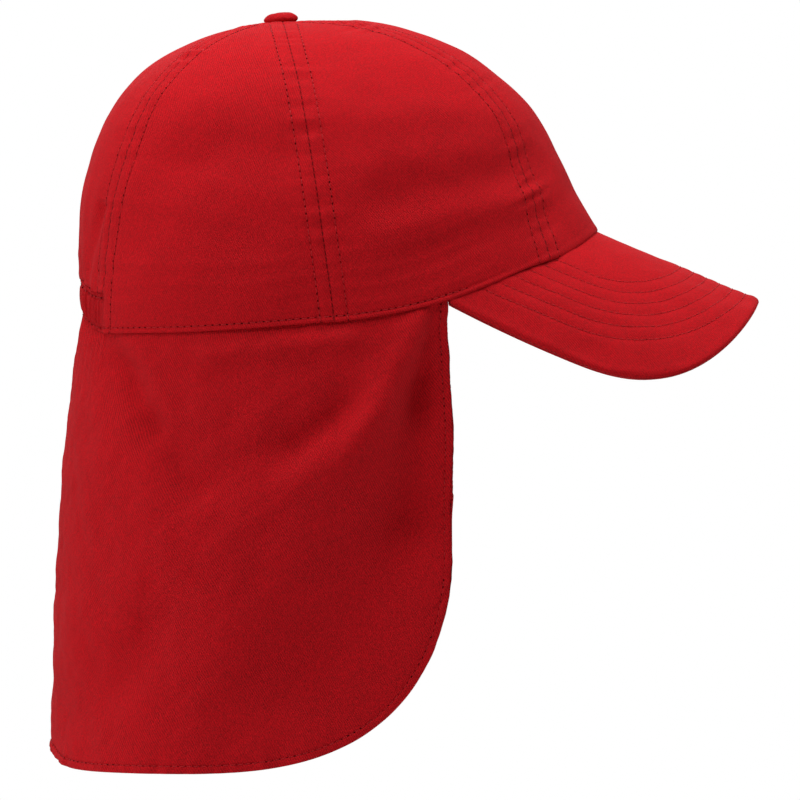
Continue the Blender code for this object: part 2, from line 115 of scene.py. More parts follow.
# Sewing
STITCH_PITCH = 0.00285
SEAM_PITCH = 0.00254
THREAD_RADIUS = 0.00017
TOPSTITCH_AT = 0.0054
SEAM_ZONE = 0.0100
RIM_STITCH_AT = 0.0022
OVERHANG = 0.0018
SHADOW_GAP = 0.0006
PUCKERING = 0.00019
SEAM_DIP = 0.00020
WELT_HEIGHT = 0.00020
HEM_STITCH_AT = 0.0030
HEM_RISE = 0.00030
HEM_EXTRA = 0.0005
HOLE_RADIUS = 0.00037
THREAD_LIFT = 0.00006

# Weave: the slant of the twill in degrees, and the pitches of its ridges and its yarns
TWILL_SLANT = 62.0
TWILL_PITCH = 0.00080
YARN_PITCH = 0.00055

# Grid of a panel: rows, with those of the band along the rim, and columns, with those of a seam
PANEL_ROWS = 190
RIM_ROWS = 12
RIM_BAND = 0.0045
SEAM_COLUMNS = 18
PANEL_COLUMN = 0.0018
PANEL_OVERLAP = 0.00003
PANEL_WIDEST_AT = 0.7
TOPSTITCH_FROM_WIDTH = 0.0125

# Grid of the peak and of the flap: columns and rows, with how many of them are at an edge
PEAK_GRID = (300, 92)
PEAK_EDGE_ROWS = 10.0
FLAP_GRID = (360, 150)
FLAP_EDGE_COLUMNS = 14
FLAP_EDGE = 0.0063

# Peak stitching: the outer row and the steps between rows, along the flat peak
PEAK_ROWS_OF_STITCHES = 6
STITCH_ROW_HALF_WIDTH = 0.0797
STITCH_ROW_REACH = 0.0645
STITCH_ROW_STEP_SIDE = 0.00575
STITCH_ROW_STEP_FRONT = 0.0055
STITCH_ROW_SQUARENESS = 2.5

# Camera: the photograph's view, straight from the side, with lengths in metres
VIEW_MIDDLE = (-0.02535, -0.02925)
VIEW_WIDTH = 0.312
VIEW_DISTANCE = 10.0
SENSOR = 36.0
CLEAR_TO = 1000.0
FLOOR_HEIGHT = -0.34
FLOOR_RADIUS = 4.2
FLOOR_GLOW = 0.85
ROOM_GLOW = 0.06

# Soft round lights that face the origin: name, place, size, watts
LIGHTS = (
    ("above", (0.00, 0.10, 1.50), 0.80, 15.0),
    ("above_near_side", (-0.82, 0.35, 1.25), 0.80, 9.3),
    ("above_front", (-0.10, -1.00, 1.20), 0.80, 8.0),
    ("behind", (-0.30, 1.70, 0.30), 0.80, 8.6),
    ("low_behind", (-0.60, 1.40, -0.20), 0.80, 0.9),
    ("far_side", (1.60, 0.20, 0.90), 1.40, 8.0),
)

# Crown sections, from the pole to the rim in tenths: the reach and drop of the front, side and
# back, as shares of their whole way, and how far the side has moved forward
CROWN_SECTIONS = np.array((
    # front reach, front drop, side reach, side forward, side drop, back reach, back drop
    (0.000, 0.000, 0.000, 0.000, 0.000, 0.000, 0.000),
    (0.132, -0.009, 0.206, 0.050, 0.009, 0.204, 0.018),
    (0.265, -0.004, 0.405, 0.110, 0.045, 0.402, 0.057),
    (0.395, 0.032, 0.589, 0.205, 0.109, 0.587, 0.120),
    (0.520, 0.096, 0.747, 0.330, 0.198, 0.745, 0.208),
    (0.636, 0.189, 0.862, 0.450, 0.313, 0.871, 0.319),
    (0.739, 0.314, 0.941, 0.570, 0.443, 0.953, 0.447),
    (0.825, 0.465, 0.985, 0.685, 0.580, 1.003, 0.582),
    (0.888, 0.640, 1.003, 0.790, 0.720, 1.018, 0.721),
    (0.942, 0.821, 1.006, 0.900, 0.860, 1.014, 0.861),
    (1.000, 1.000, 1.000, 1.000, 1.000, 1.000, 1.000),
))


class Seam(NamedTuple):
    """Angles of a seam, in degrees, where it starts, halfway and at the rim."""

    at_pole: float
    halfway: float
    at_rim: float


FRONT_SEAM = Seam(28.0, 27.0, 37.0)
SIDE_SEAM = Seam(90.0, 90.0, 90.0)
BACK_SEAM = Seam(143.0, 142.3, 152.5)

# Ridges of the flap, and valleys of negative depth
FLAP_FOLDS = (
    # degrees and share of the drop where it starts and ends, shares of the full width and depth
    (69.0, 0.04, 75.0, 0.20, 0.45, -0.60),
    (75.0, 0.20, 77.0, 0.46, 0.60, -0.90),
    (77.0, 0.46, 94.0, 0.75, 0.95, -0.80),
    (74.0, 0.05, 83.0, 0.20, 0.40, 0.35),
    (83.0, 0.20, 95.0, 0.34, 0.55, 0.45),
    (88.0, 0.18, 98.0, 0.28, 0.45, -0.40),
    (143.0, 0.05, 114.0, 0.33, 0.50, -0.45),
    (138.0, 0.30, 122.0, 0.50, 1.30, 0.40),
    (160.0, 0.86, 123.0, 0.62, 0.85, -0.50),
)

# Creases of the flap, in millimetres, with falls measured down from its top edge
FLAP_CREASES = (
    # forwards and fall where it starts and ends, width, depth
    (-86.0, 7.0, -69.0, 37.0, 3.8, -2.4),
    (-71.0, 35.0, -55.0, 60.0, 5.5, -1.7),
    (-78.0, 3.0, -61.0, 33.0, 4.6, 1.3),
    (-48.0, 8.5, 4.0, 6.8, 4.2, 1.7),
    (-82.0, 6.0, -48.0, 8.5, 3.4, 0.6),
    (-15.0, 45.5, 3.0, 34.5, 5.0, -2.2),
    (33.0, 2.0, 21.0, 33.0, 6.0, 0.9),
    (21.0, 33.0, -4.0, 62.0, 7.5, 0.9),
    (39.5, 1.0, 33.5, 26.0, 3.6, -1.7),
    (33.5, 26.0, 29.5, 56.0, 5.5, -1.5),
    (-76.0, 98.0, -96.0, 130.0, 8.0, 1.5),
    (-64.0, 112.0, -92.0, 149.0, 7.0, -1.4),
    (48.0, 156.0, 2.0, 164.0, 32.0, -5.5),
)

# Small folds round the crown above its rim: height in metres, depth and width in millimetres
RIM_FOLDS = (
    (0.0260, 0.20, 1.8), (0.0185, 0.22, 1.6), (0.0125, 0.22, 1.5), (0.0060, 0.16, 1.2),
)

# Dents of the crown, in millimetres, with falls measured down from the top of the crown
CROWN_DENTS = (
    # forwards and fall where it starts and ends, width, depth
    (-66.0, 55.0, -20.0, 50.0, 11.0, -2.0),
    (-70.0, 101.0, -26.0, 103.0, 14.0, 1.9),
    (-66.0, 31.0, -22.0, 26.0, 9.0, 0.6),
    (-2.0, 36.0, 62.0, 34.0, 8.0, 0.9),
    (22.0, 69.0, 84.0, 54.0, 9.5, -2.2),
    (18.0, 83.0, 82.0, 66.0, 5.0, 0.5),
    (30.0, 93.0, 82.0, 76.0, 7.0, -0.9),
    (-91.0, 72.0, -96.5, 96.0, 1.8, -2.4),
)


def smooth_step(value):
    """Go smoothly from 0 to 1 as the value does."""
    held = np.clip(value, 0.0, 1.0)
    return held * held * (3.0 - 2.0 * held)


def bump(offset, width):
    """A round bump, 1 in its middle and about nothing two widths away."""
    return np.exp(-(offset / width) ** 2)


def soft_noise(points, wavelength, seed, waves=12):
    """Smooth noise of about unit strength, from a few seeded waves through the points."""
    draw = np.random.default_rng(seed)
    total = np.zeros(points.shape[:-1])
    for _ in range(waves):
        direction = draw.normal(size=points.shape[-1])
        direction /= np.linalg.norm(direction)
        turns = 2.0 * math.pi / (wavelength * draw.uniform(0.7, 1.6))
        total += np.sin(points @ direction * turns + draw.uniform(0.0, 2.0 * math.pi))
    return total / math.sqrt(waves / 2.0)


def line_noise(travel, wavelength, seed):
    """Smooth noise along a line, of about unit strength."""
    return soft_noise(np.asarray(travel)[..., None], wavelength, seed, waves=7)


def from_front(angle):
    """Fold an angle of either side into 0 to 180 degrees from the middle of the front."""
    return np.abs((angle + 180.0) % 360.0 - 180.0)


def sections_at(share):
    """Read the crown's table at any share, along a smooth curve through its rows."""
    last = len(CROWN_SECTIONS) - 1
    place = np.clip(share, 0.0, 1.0) * last
    row = np.minimum(place.astype(int), last - 1)
    local = (place - row)[..., None]
    before, start, end, after = (CROWN_SECTIONS[np.clip(row + step, 0, last)]
                                 for step in (-1, 0, 1, 2))
    start_slope = (end - before) / np.where(row > 0, 2.0, 1.0)[..., None]
    end_slope = (after - start) / np.where(row < last - 1, 2.0, 1.0)[..., None]
    square, cube = local ** 2, local ** 3
    curve = ((2.0 * cube - 3.0 * square + 1.0) * start
             + (cube - 2.0 * square + local) * start_slope
             + (3.0 * square - 2.0 * cube) * end + (cube - square) * end_slope)
    return np.moveaxis(curve, -1, 0)


def signed_power(value, power):
    """Raise a value to a power and keep its sign."""
    return np.sign(value) * np.abs(value) ** power


def plan_shares(angle):
    """Give the shares of the sideways and lengthways reach that an angle has in plan."""
    turn = np.radians(angle)
    power = 2.0 / np.where(np.cos(turn) > 0.0, FRONT_ROUNDNESS, BACK_ROUNDNESS)
    return signed_power(np.sin(turn), power), signed_power(np.cos(turn), power)


def rim_plan(angle):
    """Give a point of the rim seen from above: sideways and forwards of the origin."""
    across, along = plan_shares(angle)
    reach = np.where(along > 0.0, OPENING_FRONT, OPENING_BACK)
    return np.stack((OPENING_HALF_WIDTH * across, reach * along), -1)


def rim_outward(angle, step=0.05):
    """Give the direction that points out of the rim, seen from above."""
    along = rim_plan(angle + step) - rim_plan(angle - step)
    outward = np.stack((-along[..., 1], along[..., 0]), -1)
    return outward / np.linalg.norm(outward, axis=-1, keepdims=True)


def arch_height(sideways, forwards, lift=0.0):
    """Height of the peak's arch, or of one that lies outside it by the lift."""
    drop = OPENING_HALF_WIDTH - np.sqrt((OPENING_HALF_WIDTH + lift) ** 2 - sideways ** 2)
    ahead = forwards - OPENING_FRONT
    return PEAK_ROOT_HEIGHT - ahead * math.tan(PEAK_TILT) - drop / math.cos(PEAK_TILT)


def rim_height(angle):
    """Height of the crown's lower edge: on the peak in front, level at the side, up behind."""
    turn = from_front(angle)
    plan = rim_plan(np.minimum(turn, PEAK_CORNER))
    on_peak = arch_height(plan[..., 0], plan[..., 1], PEAK_SEAT_GAP)
    left = (BACK_SEAM.at_rim - turn) / (BACK_SEAM.at_rim - PEAK_CORNER)
    beside = RIM_LOWEST + (on_peak - RIM_LOWEST) * np.clip(left, 0.0, 1.0) ** RIM_FALL
    part = (turn - BACK_SEAM.at_rim) / (180.0 - BACK_SEAM.at_rim)
    behind = RIM_LOWEST + (RIM_AT_BACK - RIM_LOWEST) * smooth_step(part)
    return np.where(turn <= PEAK_CORNER, on_peak, np.where(part <= 0.0, beside, behind))


def crown_point(angle, share):
    """Outside of the crown, at an angle and a share of the way from the pole to the rim."""
    angle, share = np.broadcast_arrays(np.asarray(angle, float), np.asarray(share, float))
    (front_reach, front_drop, side_reach, side_forward, side_drop,
     back_reach, back_drop) = sections_at(share)
    across, along = plan_shares(angle)
    ahead = along > 0.0
    middle = -POLE_SETBACK * (1.0 - side_forward)
    tip = np.where(ahead, -POLE_SETBACK + (OPENING_FRONT + POLE_SETBACK) * front_reach,
                   -POLE_SETBACK - (OPENING_BACK - POLE_SETBACK) * back_reach)
    forwards = middle + (tip - middle) * np.abs(along)
    tip_drop = np.where(ahead, front_drop, back_drop)
    drop = side_drop + (tip_drop - side_drop) * (1.0 - across * across)
    height = CROWN_HEIGHT + (rim_height(angle) - CROWN_HEIGHT) * drop
    return np.stack((OPENING_HALF_WIDTH * side_reach * across, -forwards, height), -1)


def seam_angle(seam, share):
    """Angle of a seam at a share of the way from the pole to the rim."""
    return (seam.at_pole * (1.0 - share) * (1.0 - 2.0 * share)
            + seam.halfway * 4.0 * share * (1.0 - share)
            + seam.at_rim * share * (2.0 * share - 1.0))


def mirrored(seam, whole_turn=0.0):
    """The same seam on the other side of the cap."""
    return Seam(*(whole_turn - angle for angle in seam))


def run_lengths(points, axis=0):
    """Length travelled along rows of points, from nothing at the first one."""
    steps = np.linalg.norm(np.diff(points, axis=axis), axis=-1)
    start = np.zeros_like(np.take(steps, [0], axis=axis))
    return np.concatenate((start, np.cumsum(steps, axis=axis)), axis=axis)


def grid_normals(points, inside=(0.0, 0.0, 0.02)):
    """Directions straight out of a grid of points, away from the inside point."""
    normals = np.cross(np.gradient(points, axis=0), np.gradient(points, axis=1))
    normals /= np.maximum(np.linalg.norm(normals, axis=-1, keepdims=True), 1e-12)
    middle = (points.shape[0] // 2, points.shape[1] // 2)
    inwards = np.dot(normals[middle], points[middle] - np.asarray(inside)) < 0.0
    return -normals if inwards else normals


def evenly(points, count):
    """Points spread evenly along a path."""
    lengths = run_lengths(points)
    wanted = np.linspace(0.0, lengths[-1], count)
    return np.stack([np.interp(wanted, lengths, points[:, k]) for k in range(points.shape[1])], -1)


def round_edge(distance, half, start=0.12):
    """Share of a cloth's half thickness that is left near a rounded edge."""
    near = np.clip(distance / half + start, 0.0, 1.0)
    return np.sqrt(np.maximum(1.0 - (1.0 - near) ** 2, 0.0))


def pushed_out(where, start, end, width, depth):
    """How far a straight ridge, or a valley of negative depth, pushes the cloth out."""
    run = end - start
    along = np.clip(((where - start) @ run) / (run @ run), 0.0, 1.0)
    away = np.linalg.norm(where - start - along[..., None] * run, axis=-1)
    return depth * bump(away, width)


def creased(forwards, fall, creases):
    """How far creases push the cloth out, at places forwards and down in metres."""
    where = np.stack((forwards, fall), -1) / MM
    return sum(pushed_out(where, np.array(row[:2]), np.array(row[2:4]), row[4], MM * row[5])
               for row in creases)


# Meshes


def in_scene(name, data):
    """Put an object with this data into the scene."""
    placed = bpy.data.objects.new(name, data)
    bpy.context.scene.collection.objects.link(placed)
    return placed


def cloth_object(name, points, faces, flat, material):
    """Make a smooth mesh whose UV map holds each point's place on the flat cloth."""
    mesh = bpy.data.meshes.new(name)
    mesh.from_pydata(points.tolist(), [], faces)
    corners = np.empty(len(mesh.loops), np.int32)
    mesh.loops.foreach_get("vertex_index", corners)
    layer = mesh.uv_layers.new(name="cloth")
    layer.data.foreach_set("uv", flat[corners].ravel().astype(np.float32))
    mesh.materials.append(material)
    mesh.shade_smooth()
    return in_scene(name, mesh)


def quads(grid):
    """Faces between the rows and columns of a grid of point numbers."""
    corners = (grid[:-1, :-1], grid[:-1, 1:], grid[1:, 1:], grid[1:, :-1])
    return np.stack(corners, -1).reshape(-1, 4)


def sheet_object(name, outer, inner, flat, material, values=None):
    """Make a closed wall of cloth from two grids, the inside with every second point."""
    rows, columns = outer.shape[:2]
    outside = np.arange(rows * columns).reshape(rows, columns)
    seats = outside[::2, ::2].shape
    within = np.arange(seats[0] * seats[1]).reshape(seats) + outside.size

    def joined(fine, wide):
        """List what the outside's points have and then what the inside's have."""
        return np.concatenate((fine.reshape(outside.size, -1),
                               wide[::2, ::2].reshape(within.size, -1)))

    row, column = rows // 2, columns // 2
    across = outer[row, column + 1] - outer[row, column]
    down = outer[row + 1, column] - outer[row, column]
    flip = np.dot(np.cross(across, down), outer[row, column] - inner[row, column]) < 0.0
    order = -1 if flip else 1
    faces = quads(outside)[:, ::order].tolist() + quads(within)[:, ::-order].tolist()
    for edge, seat, way in ((outside[0], within[0], order), (outside[-1], within[-1], -order),
                            (outside[:, 0], within[:, 0], -order),
                            (outside[:, -1], within[:, -1], order)):
        for place in range(len(seat) - 1):
            face = [*edge[2 * place:2 * place + 3], seat[place + 1], seat[place]]
            faces.append([int(corner) for corner in face[::way]])
    placed = cloth_object(name, joined(outer, inner), faces, joined(flat, flat), material)
    for label, grid in (values or {}).items():
        layer = placed.data.attributes.new(label, "FLOAT", "POINT")
        layer.data.foreach_set("value", joined(grid, grid).ravel().astype(np.float32))
    return placed


def dressed(piece, slot, *nodes):
    """Say where a finished piece rides and hide the solids it stands for; the slot is not used."""
    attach(piece, "root")
    if nodes:
        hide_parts(*nodes)
    return piece


# Materials


def operator(operation, swapped=False):
    """Make an operator that adds a Math node."""
    def apply(value, other):
        return value.nodes.math(operation, *((other, value) if swapped else (value, other)))
    return apply


class Value:
    """A number inside a tree of nodes, which + - * extend with Math nodes."""

    def __init__(self, nodes, socket):
        self.nodes, self.socket = nodes, socket

    __add__, __radd__ = operator("ADD"), operator("ADD", swapped=True)
    __sub__, __rsub__ = operator("SUBTRACT"), operator("SUBTRACT", swapped=True)
    __mul__, __rmul__ = operator("MULTIPLY"), operator("MULTIPLY", swapped=True)


class Nodes:
    """The nodes of one tree."""

    def __init__(self, tree):
        self.tree = tree

    def node(self, kind, settings=None, **inputs):
        """Add a node, set it and feed its inputs: _ stands for a space, or leads a number."""
        made = self.tree.nodes.new(kind)
        for key, setting in (settings or {}).items():
            setattr(made, key, setting)
        for key, value in inputs.items():
            self.feed(made.inputs[int(key[1:]) if key[0] == "_" else key.replace("_", " ")], value)
        return made

    def feed(self, socket, value):
        """Link a value to a socket, or set the socket to a plain one."""
        value = getattr(value, "socket", value)
        if isinstance(value, bpy.types.NodeSocket):
            self.tree.links.new(value, socket)
        else:
            socket.default_value = value

    def math(self, operation, *terms):
        """Add a Math node."""
        inputs = {f"_{place}": term for place, term in enumerate(terms)}
        made = self.node("ShaderNodeMath", {"operation": operation}, **inputs)
        return Value(self, made.outputs[0])


class Shading(Nodes):
    """The nodes of one material."""

    def __init__(self, name):
        self.material = bpy.data.materials.new(name)
        self.material.use_nodes = True
        super().__init__(self.material.node_tree)

    def finish(self, **sockets):
        """Set or link the shader's sockets, with _ for a space, and give the material."""
        shader = self.tree.nodes["Principled BSDF"]
        for key, value in sockets.items():
            self.feed(shader.inputs[key.replace("_", " ")], value)
        return self.material

    def places(self):
        """Give the place of each point on the object."""
        return self.node("ShaderNodeTexCoord").outputs["Object"]

    def attribute(self, name):
        """Read an attribute of the mesh."""
        made = self.node("ShaderNodeAttribute", {"attribute_name": name})
        return Value(self, made.outputs["Fac"])

    def ramp(self, value, low, high, start=0.0, end=1.0):
        """Go smoothly from start to end as the value goes from low to high."""
        made = self.node("ShaderNodeMapRange", {"interpolation_type": "SMOOTHSTEP"},
                         Value=value, From_Min=low, From_Max=high, To_Min=start, To_Max=end)
        return Value(self, made.outputs[0])

    def noise(self, where, scale, detail=2.0, roughness=0.5):
        """Add noise."""
        made = self.node("ShaderNodeTexNoise", Vector=where, Scale=scale, Detail=detail,
                         Roughness=roughness)
        return Value(self, made.outputs["Fac"])

    def blend(self, share, first, second):
        """Mix two colours."""
        made = self.node("ShaderNodeMix", {"data_type": "RGBA"}, _0=share, _6=first, _7=second)
        return made.outputs[2]


def red(value):
    """A cloth red of one strength."""
    return (value, value * 0.008, value * 0.017, 1.0)


def cloth_material(name, light, dark, strength, seams=False):
    """Matt twill between two reds: slanted ridges, mottling, and painted shade along the seam
    grooves where it is sewn, dashed at each stitch.
    """
    shading = Shading(name)
    flat = shading.node("ShaderNodeUVMap", {"uv_map": "cloth"}).outputs[0]
    where = shading.places()
    parts = shading.node("ShaderNodeSeparateXYZ", Vector=flat)
    across, down = Value(shading, parts.outputs[0]), Value(shading, parts.outputs[1])
    waver = shading.noise(where, 260.0)
    slant = math.radians(TWILL_SLANT)
    ridge = (across * math.sin(slant) + down * math.cos(slant)) * (2.0 * math.pi / TWILL_PITCH)
    clear = shading.ramp(shading.noise(where, 42.0), 0.36, 0.64, 0.45, 1.0)
    twill = shading.math("SINE", ridge + waver * 5.0) * (clear * 0.5) + 0.5
    yarn = shading.math("SINE", (across * math.cos(slant) - down * math.sin(slant))
                        * (2.0 * math.pi / YARN_PITCH) + twill * 2.0) * 0.5 + 0.5
    mottle = shading.noise(where, 900.0, 3.0, 0.7)
    grain = shading.noise(where, 2100.0, 2.0, 0.6)
    patches = shading.noise(where, 55.0, 3.0, 0.6)
    tone = ((twill * 0.44 + yarn * 0.10) * strength + mottle * 1.15 + grain * 1.40
            + patches * 0.22 - 1.14)
    held = shading.math("MINIMUM", shading.math("MAXIMUM", tone, 0.0), 1.0)
    colour = shading.blend(held, red(dark), red(light))
    # painted shade: a near-black line in each seam's groove, darker at each stitch
    if seams:
        dash = shading.math("COSINE", shading.attribute("seam_count") * (2.0 * math.pi)) * 0.5 + 0.5
        line = shading.ramp(shading.attribute("seam_far"), 0.00012, 0.00042, 1.0, 0.0)
        seam = line * (shading.ramp(dash, 0.10, 0.50) * 0.66 + 0.22)
        colour = shading.blend(seam, colour, red(0.07))
    height = (twill * 0.7 + yarn * 0.3) * strength + mottle * 0.8 + grain * 0.8
    bumped = shading.node("ShaderNodeBump", Strength=0.70, Distance=0.00016, Height=height)
    return shading.finish(Base_Color=colour, Roughness=shading.ramp(mottle, 0.3, 0.7, 0.80, 0.94),
                          Normal=bumped.outputs[0], Specular_IOR_Level=0.12, Sheen_Weight=0.05,
                          Sheen_Roughness=0.55, Sheen_Tint=(1.0, 0.20, 0.22, 1.0))


def thread_material(name, colour):
    """Smooth sewing thread with a soft shine."""
    shading = Shading(name)
    lint = shading.noise(shading.places(), 2200.0)
    return shading.finish(Base_Color=shading.blend(lint, red(colour * 0.82), red(colour)),
                          Roughness=shading.ramp(lint, 0.3, 0.7, 0.50, 0.65),
                          Specular_IOR_Level=0.25, Sheen_Weight=0.02)


def hole_shade_material(name):
    """Painted shade for the inside of a needle hole: near-black, lighter in random patches."""
    shading = Shading(name)
    # painted shade, in random darker and lighter patches
    hole_shade_patches = shading.ramp(shading.noise(shading.places(), 75.0), 0.42, 0.60)
    return shading.finish(Base_Color=shading.blend(hole_shade_patches, red(0.05), red(0.24)), Roughness=0.95,
                          Specular_IOR_Level=0.05)


# Stitches


def stitch_tree(thread, hole):
    """Nodes that set one stitch and a flat disc of painted shade for its needle hole at every pitch
    along a path.
    """
    tree = bpy.data.node_groups.new("row_of_stitches", "GeometryNodeTree")
    tree.is_modifier = True
    put = tree.interface.new_socket
    put("Geometry", in_out="INPUT", socket_type="NodeSocketGeometry")
    for label, value in (("Pitch", STITCH_PITCH), ("Length share", 0.74),
                         ("Thread radius", THREAD_RADIUS), ("Rise", 0.00030), ("Jitter", 0.09),
                         ("Hole radius", HOLE_RADIUS)):
        put(label, in_out="INPUT", socket_type="NodeSocketFloat").default_value = value
    put("Seed", in_out="INPUT", socket_type="NodeSocketInt").default_value = 1
    put("Geometry", in_out="OUTPUT", socket_type="NodeSocketGeometry")
    nodes = Nodes(tree)

    def add(kind, settings=None, **inputs):
        """Add a node and give its first output."""
        return nodes.node(kind, settings, **inputs).outputs[0]

    def point(across, up):
        return add("ShaderNodeCombineXYZ", X=across, Z=up)

    def vector(operation, first, **second):
        return add("ShaderNodeVectorMath", {"operation": operation}, _0=first, **second)

    given = {socket.name: Value(nodes, socket) for socket in nodes.node("NodeGroupInput").outputs}
    pitch, radius = given["Pitch"], given["Thread radius"]
    half = pitch * given["Length share"] * 0.5
    arc = add("GeometryNodeCurveQuadraticBezier", Resolution=6,
              Start=point(half * -1.0, radius * -1.0), Middle=point(0.0, given["Rise"]),
              End=point(half, radius * -1.0))
    section = add("GeometryNodeCurvePrimitiveCircle", Resolution=6, Radius=radius)
    strand = add("GeometryNodeCurveToMesh", _0=arc, _1=section)
    strand = add("GeometryNodeSetMaterial", Geometry=strand, Material=thread)
    # the needle hole: a flat disc of painted shade just above the cloth, at the stitch's end
    opening = add("GeometryNodeMeshCircle", {"fill_type": "NGON"}, Vertices=7,
                  Radius=given["Hole radius"])
    opening = add("GeometryNodeTransform", Geometry=opening, Scale=(1.25, 0.8, 1.0),
                  Translation=point(pitch * 0.5, 0.00004))
    opening = add("GeometryNodeSetMaterial", Geometry=opening, Material=hole)
    stitch = nodes.node("GeometryNodeJoinGeometry")
    nodes.feed(stitch.inputs[0], strand)
    nodes.feed(stitch.inputs[0], opening)

    path = add("GeometryNodeMeshToCurve", Mesh=given["Geometry"])
    spread = add("GeometryNodeResampleCurve", {"mode": "LENGTH"}, Curve=path, Length=pitch)
    facing = add("GeometryNodeInputNamedAttribute", {"data_type": "FLOAT_VECTOR"}, Name="facing")
    turn = add("FunctionNodeAxesToRotation", {"primary_axis": "Z", "secondary_axis": "X"},
               _0=facing, _1=add("GeometryNodeInputTangent"))
    shaken = add("FunctionNodeRandomValue", {"data_type": "FLOAT_VECTOR"}, Seed=given["Seed"])
    shake = vector("SCALE", vector("SUBTRACT", shaken, _1=(0.5, 0.5, 0.5)), Scale=given["Jitter"])
    turned = add("FunctionNodeRotateRotation", {"rotation_space": "LOCAL"}, _0=turn, _1=shake)
    placed = add("GeometryNodeInstanceOnPoints", Points=spread, Instance=stitch.outputs[0],
                 Rotation=turned, Scale=vector("ADD", shake, _1=(1.0, 1.0, 1.0)))
    real = add("GeometryNodeRealizeInstances", Geometry=placed)
    nodes.feed(nodes.node("NodeGroupOutput").inputs[0], real)
    return tree


def stitch_rows(name, rows, tree, slot, seed, pitch=STITCH_PITCH, hole=HOLE_RADIUS):
    """Sew rows, each a path and its outward directions, as one piece."""
    points = np.concatenate([path for path, _ in rows])
    facing = np.concatenate([outward for _, outward in rows])
    ends = set((np.cumsum([len(path) for path, _ in rows]) - 1).tolist())
    edges = [(place, place + 1) for place in range(len(points)) if place not in ends]
    guide = bpy.data.meshes.new(name + "_guide")
    guide.from_pydata(points.tolist(), edges, [])
    layer = guide.attributes.new("facing", "FLOAT_VECTOR", "POINT")
    layer.data.foreach_set("vector", facing.ravel().astype(np.float32))
    holder = in_scene(name, guide)
    modifier = holder.modifiers.new("stitches", "NODES")
    modifier.node_group = tree
    sockets = {item.name: item.identifier for item in tree.interface.items_tree
               if item.item_type == "SOCKET" and item.in_out == "INPUT"}
    for label, value in (("Pitch", pitch), ("Seed", seed), ("Hole radius", hole)):
        modifier[sockets[label]] = value
    bpy.context.view_layer.update()
    ready = holder.evaluated_get(bpy.context.evaluated_depsgraph_get())
    mesh = bpy.data.meshes.new_from_object(ready)
    holder.modifiers.clear()
    holder.data = mesh
    mesh.name = name
    mesh.shade_smooth()
    bpy.data.meshes.remove(guide)
    return dressed(holder, slot)


def path_on(points, normals, columns, rows):
    """A path over a grid, at one fractional column in each row, with its outward directions."""
    low = np.clip(columns.astype(int), 0, points.shape[1] - 2)
    share = (columns - low)[:, None]
    every = np.arange(points.shape[0])
    place, outward = (grid[every, low] * (1.0 - share) + grid[every, low + 1] * share
                      for grid in (points, normals))
    outward /= np.linalg.norm(outward, axis=-1, keepdims=True)
    return place[rows] + outward[rows] * THREAD_LIFT, outward[rows]


# Crown


def crown_length(angle):
    """Length of the crown's cloth from the pole to the rim at an angle."""
    return run_lengths(crown_point(angle, np.linspace(0.0, 1.0, 200)))[-1]


def tip_share():
    """Share of the crown at which the panels end round the button's stem."""
    return TIP_RADIUS / crown_length(90.0)


def casing_share():
    """Share of the crown at which the elastic's casing starts."""
    return 1.0 - CASING_HEIGHT / crown_length(180.0)


def crown_relief(points, far, travel, above_rim, angle, seed):
    """How far the cloth of a panel stands out from the plain crown."""
    # slack between the seams
    fade = smooth_step(far / 0.016)
    relief = 0.00022 * soft_noise(points, 0.042, 11) * (0.35 + 0.65 * fade)
    relief += 0.00006 * soft_noise(points, 0.014, 12)
    # puckers along the seam
    pucker = line_noise(travel, 0.0085, seed) + 0.6 * line_noise(travel, 0.0048, seed + 50)
    reach = 0.0062 + 0.0022 * line_noise(travel, 0.020, seed + 90)
    pucker *= 0.7 + 0.5 * line_noise(travel, 0.034, seed + 70)
    relief += PUCKERING * pucker * np.exp(-(far / np.maximum(reach, 0.003)) ** 1.5)
    # dents of the sides
    at_side = smooth_step((np.abs(points[..., 0]) - 0.022) / 0.024)
    relief += at_side * creased(-points[..., 1], CROWN_HEIGHT - points[..., 2], CROWN_DENTS)
    # the welt between a seam and its topstitching, and the dips of both
    welt = np.clip(far / TOPSTITCH_AT, 0.0, 1.0)
    relief += WELT_HEIGHT * np.sin(math.pi * welt) ** 0.8 * (far < TOPSTITCH_AT)
    relief -= SEAM_DIP * bump(far, 0.00040)
    relief -= 0.00014 * bump(far - TOPSTITCH_AT, 0.0009)
    # small folds above the rim, the rim's row of stitches and its turned edge
    side = smooth_step((angle - 48.0) / 14.0)
    for height, depth, width in RIM_FOLDS:
        wander = height + 0.0006 * soft_noise(points, 0.050, 21)
        relief += depth * MM * bump(above_rim - wander, width * MM) * side
    relief -= 0.00030 * bump(above_rim - RIM_STITCH_AT, 0.0006) * side
    relief += 0.00022 * bump(above_rim - 0.0008, 0.0009)
    return relief


def hung_over_peak(plain, angles, edge):
    """Swell the crown's lower front out over the peak and set its edge on the peak again."""
    turn = from_front(angles)
    share = smooth_step((50.0 - turn) / 20.0)
    outward = rim_outward(angles) * (OVERHANG * share * smooth_step(1.0 - edge / 0.018))[..., None]
    moved = plain.copy()
    moved[..., 0] += outward[..., 0]
    moved[..., 1] -= outward[..., 1]
    widest = 0.99 * OPENING_HALF_WIDTH
    before = arch_height(np.clip(plain[..., 0], -widest, widest), -plain[..., 1])
    after = arch_height(np.clip(moved[..., 0], -widest, widest), -moved[..., 1])
    settled = (after - before) * (share > 0.0) + SHADOW_GAP * bump(turn - 42.0, 8.0)
    moved[..., 2] += settled * smooth_step(1.0 - edge / 0.016)
    return moved


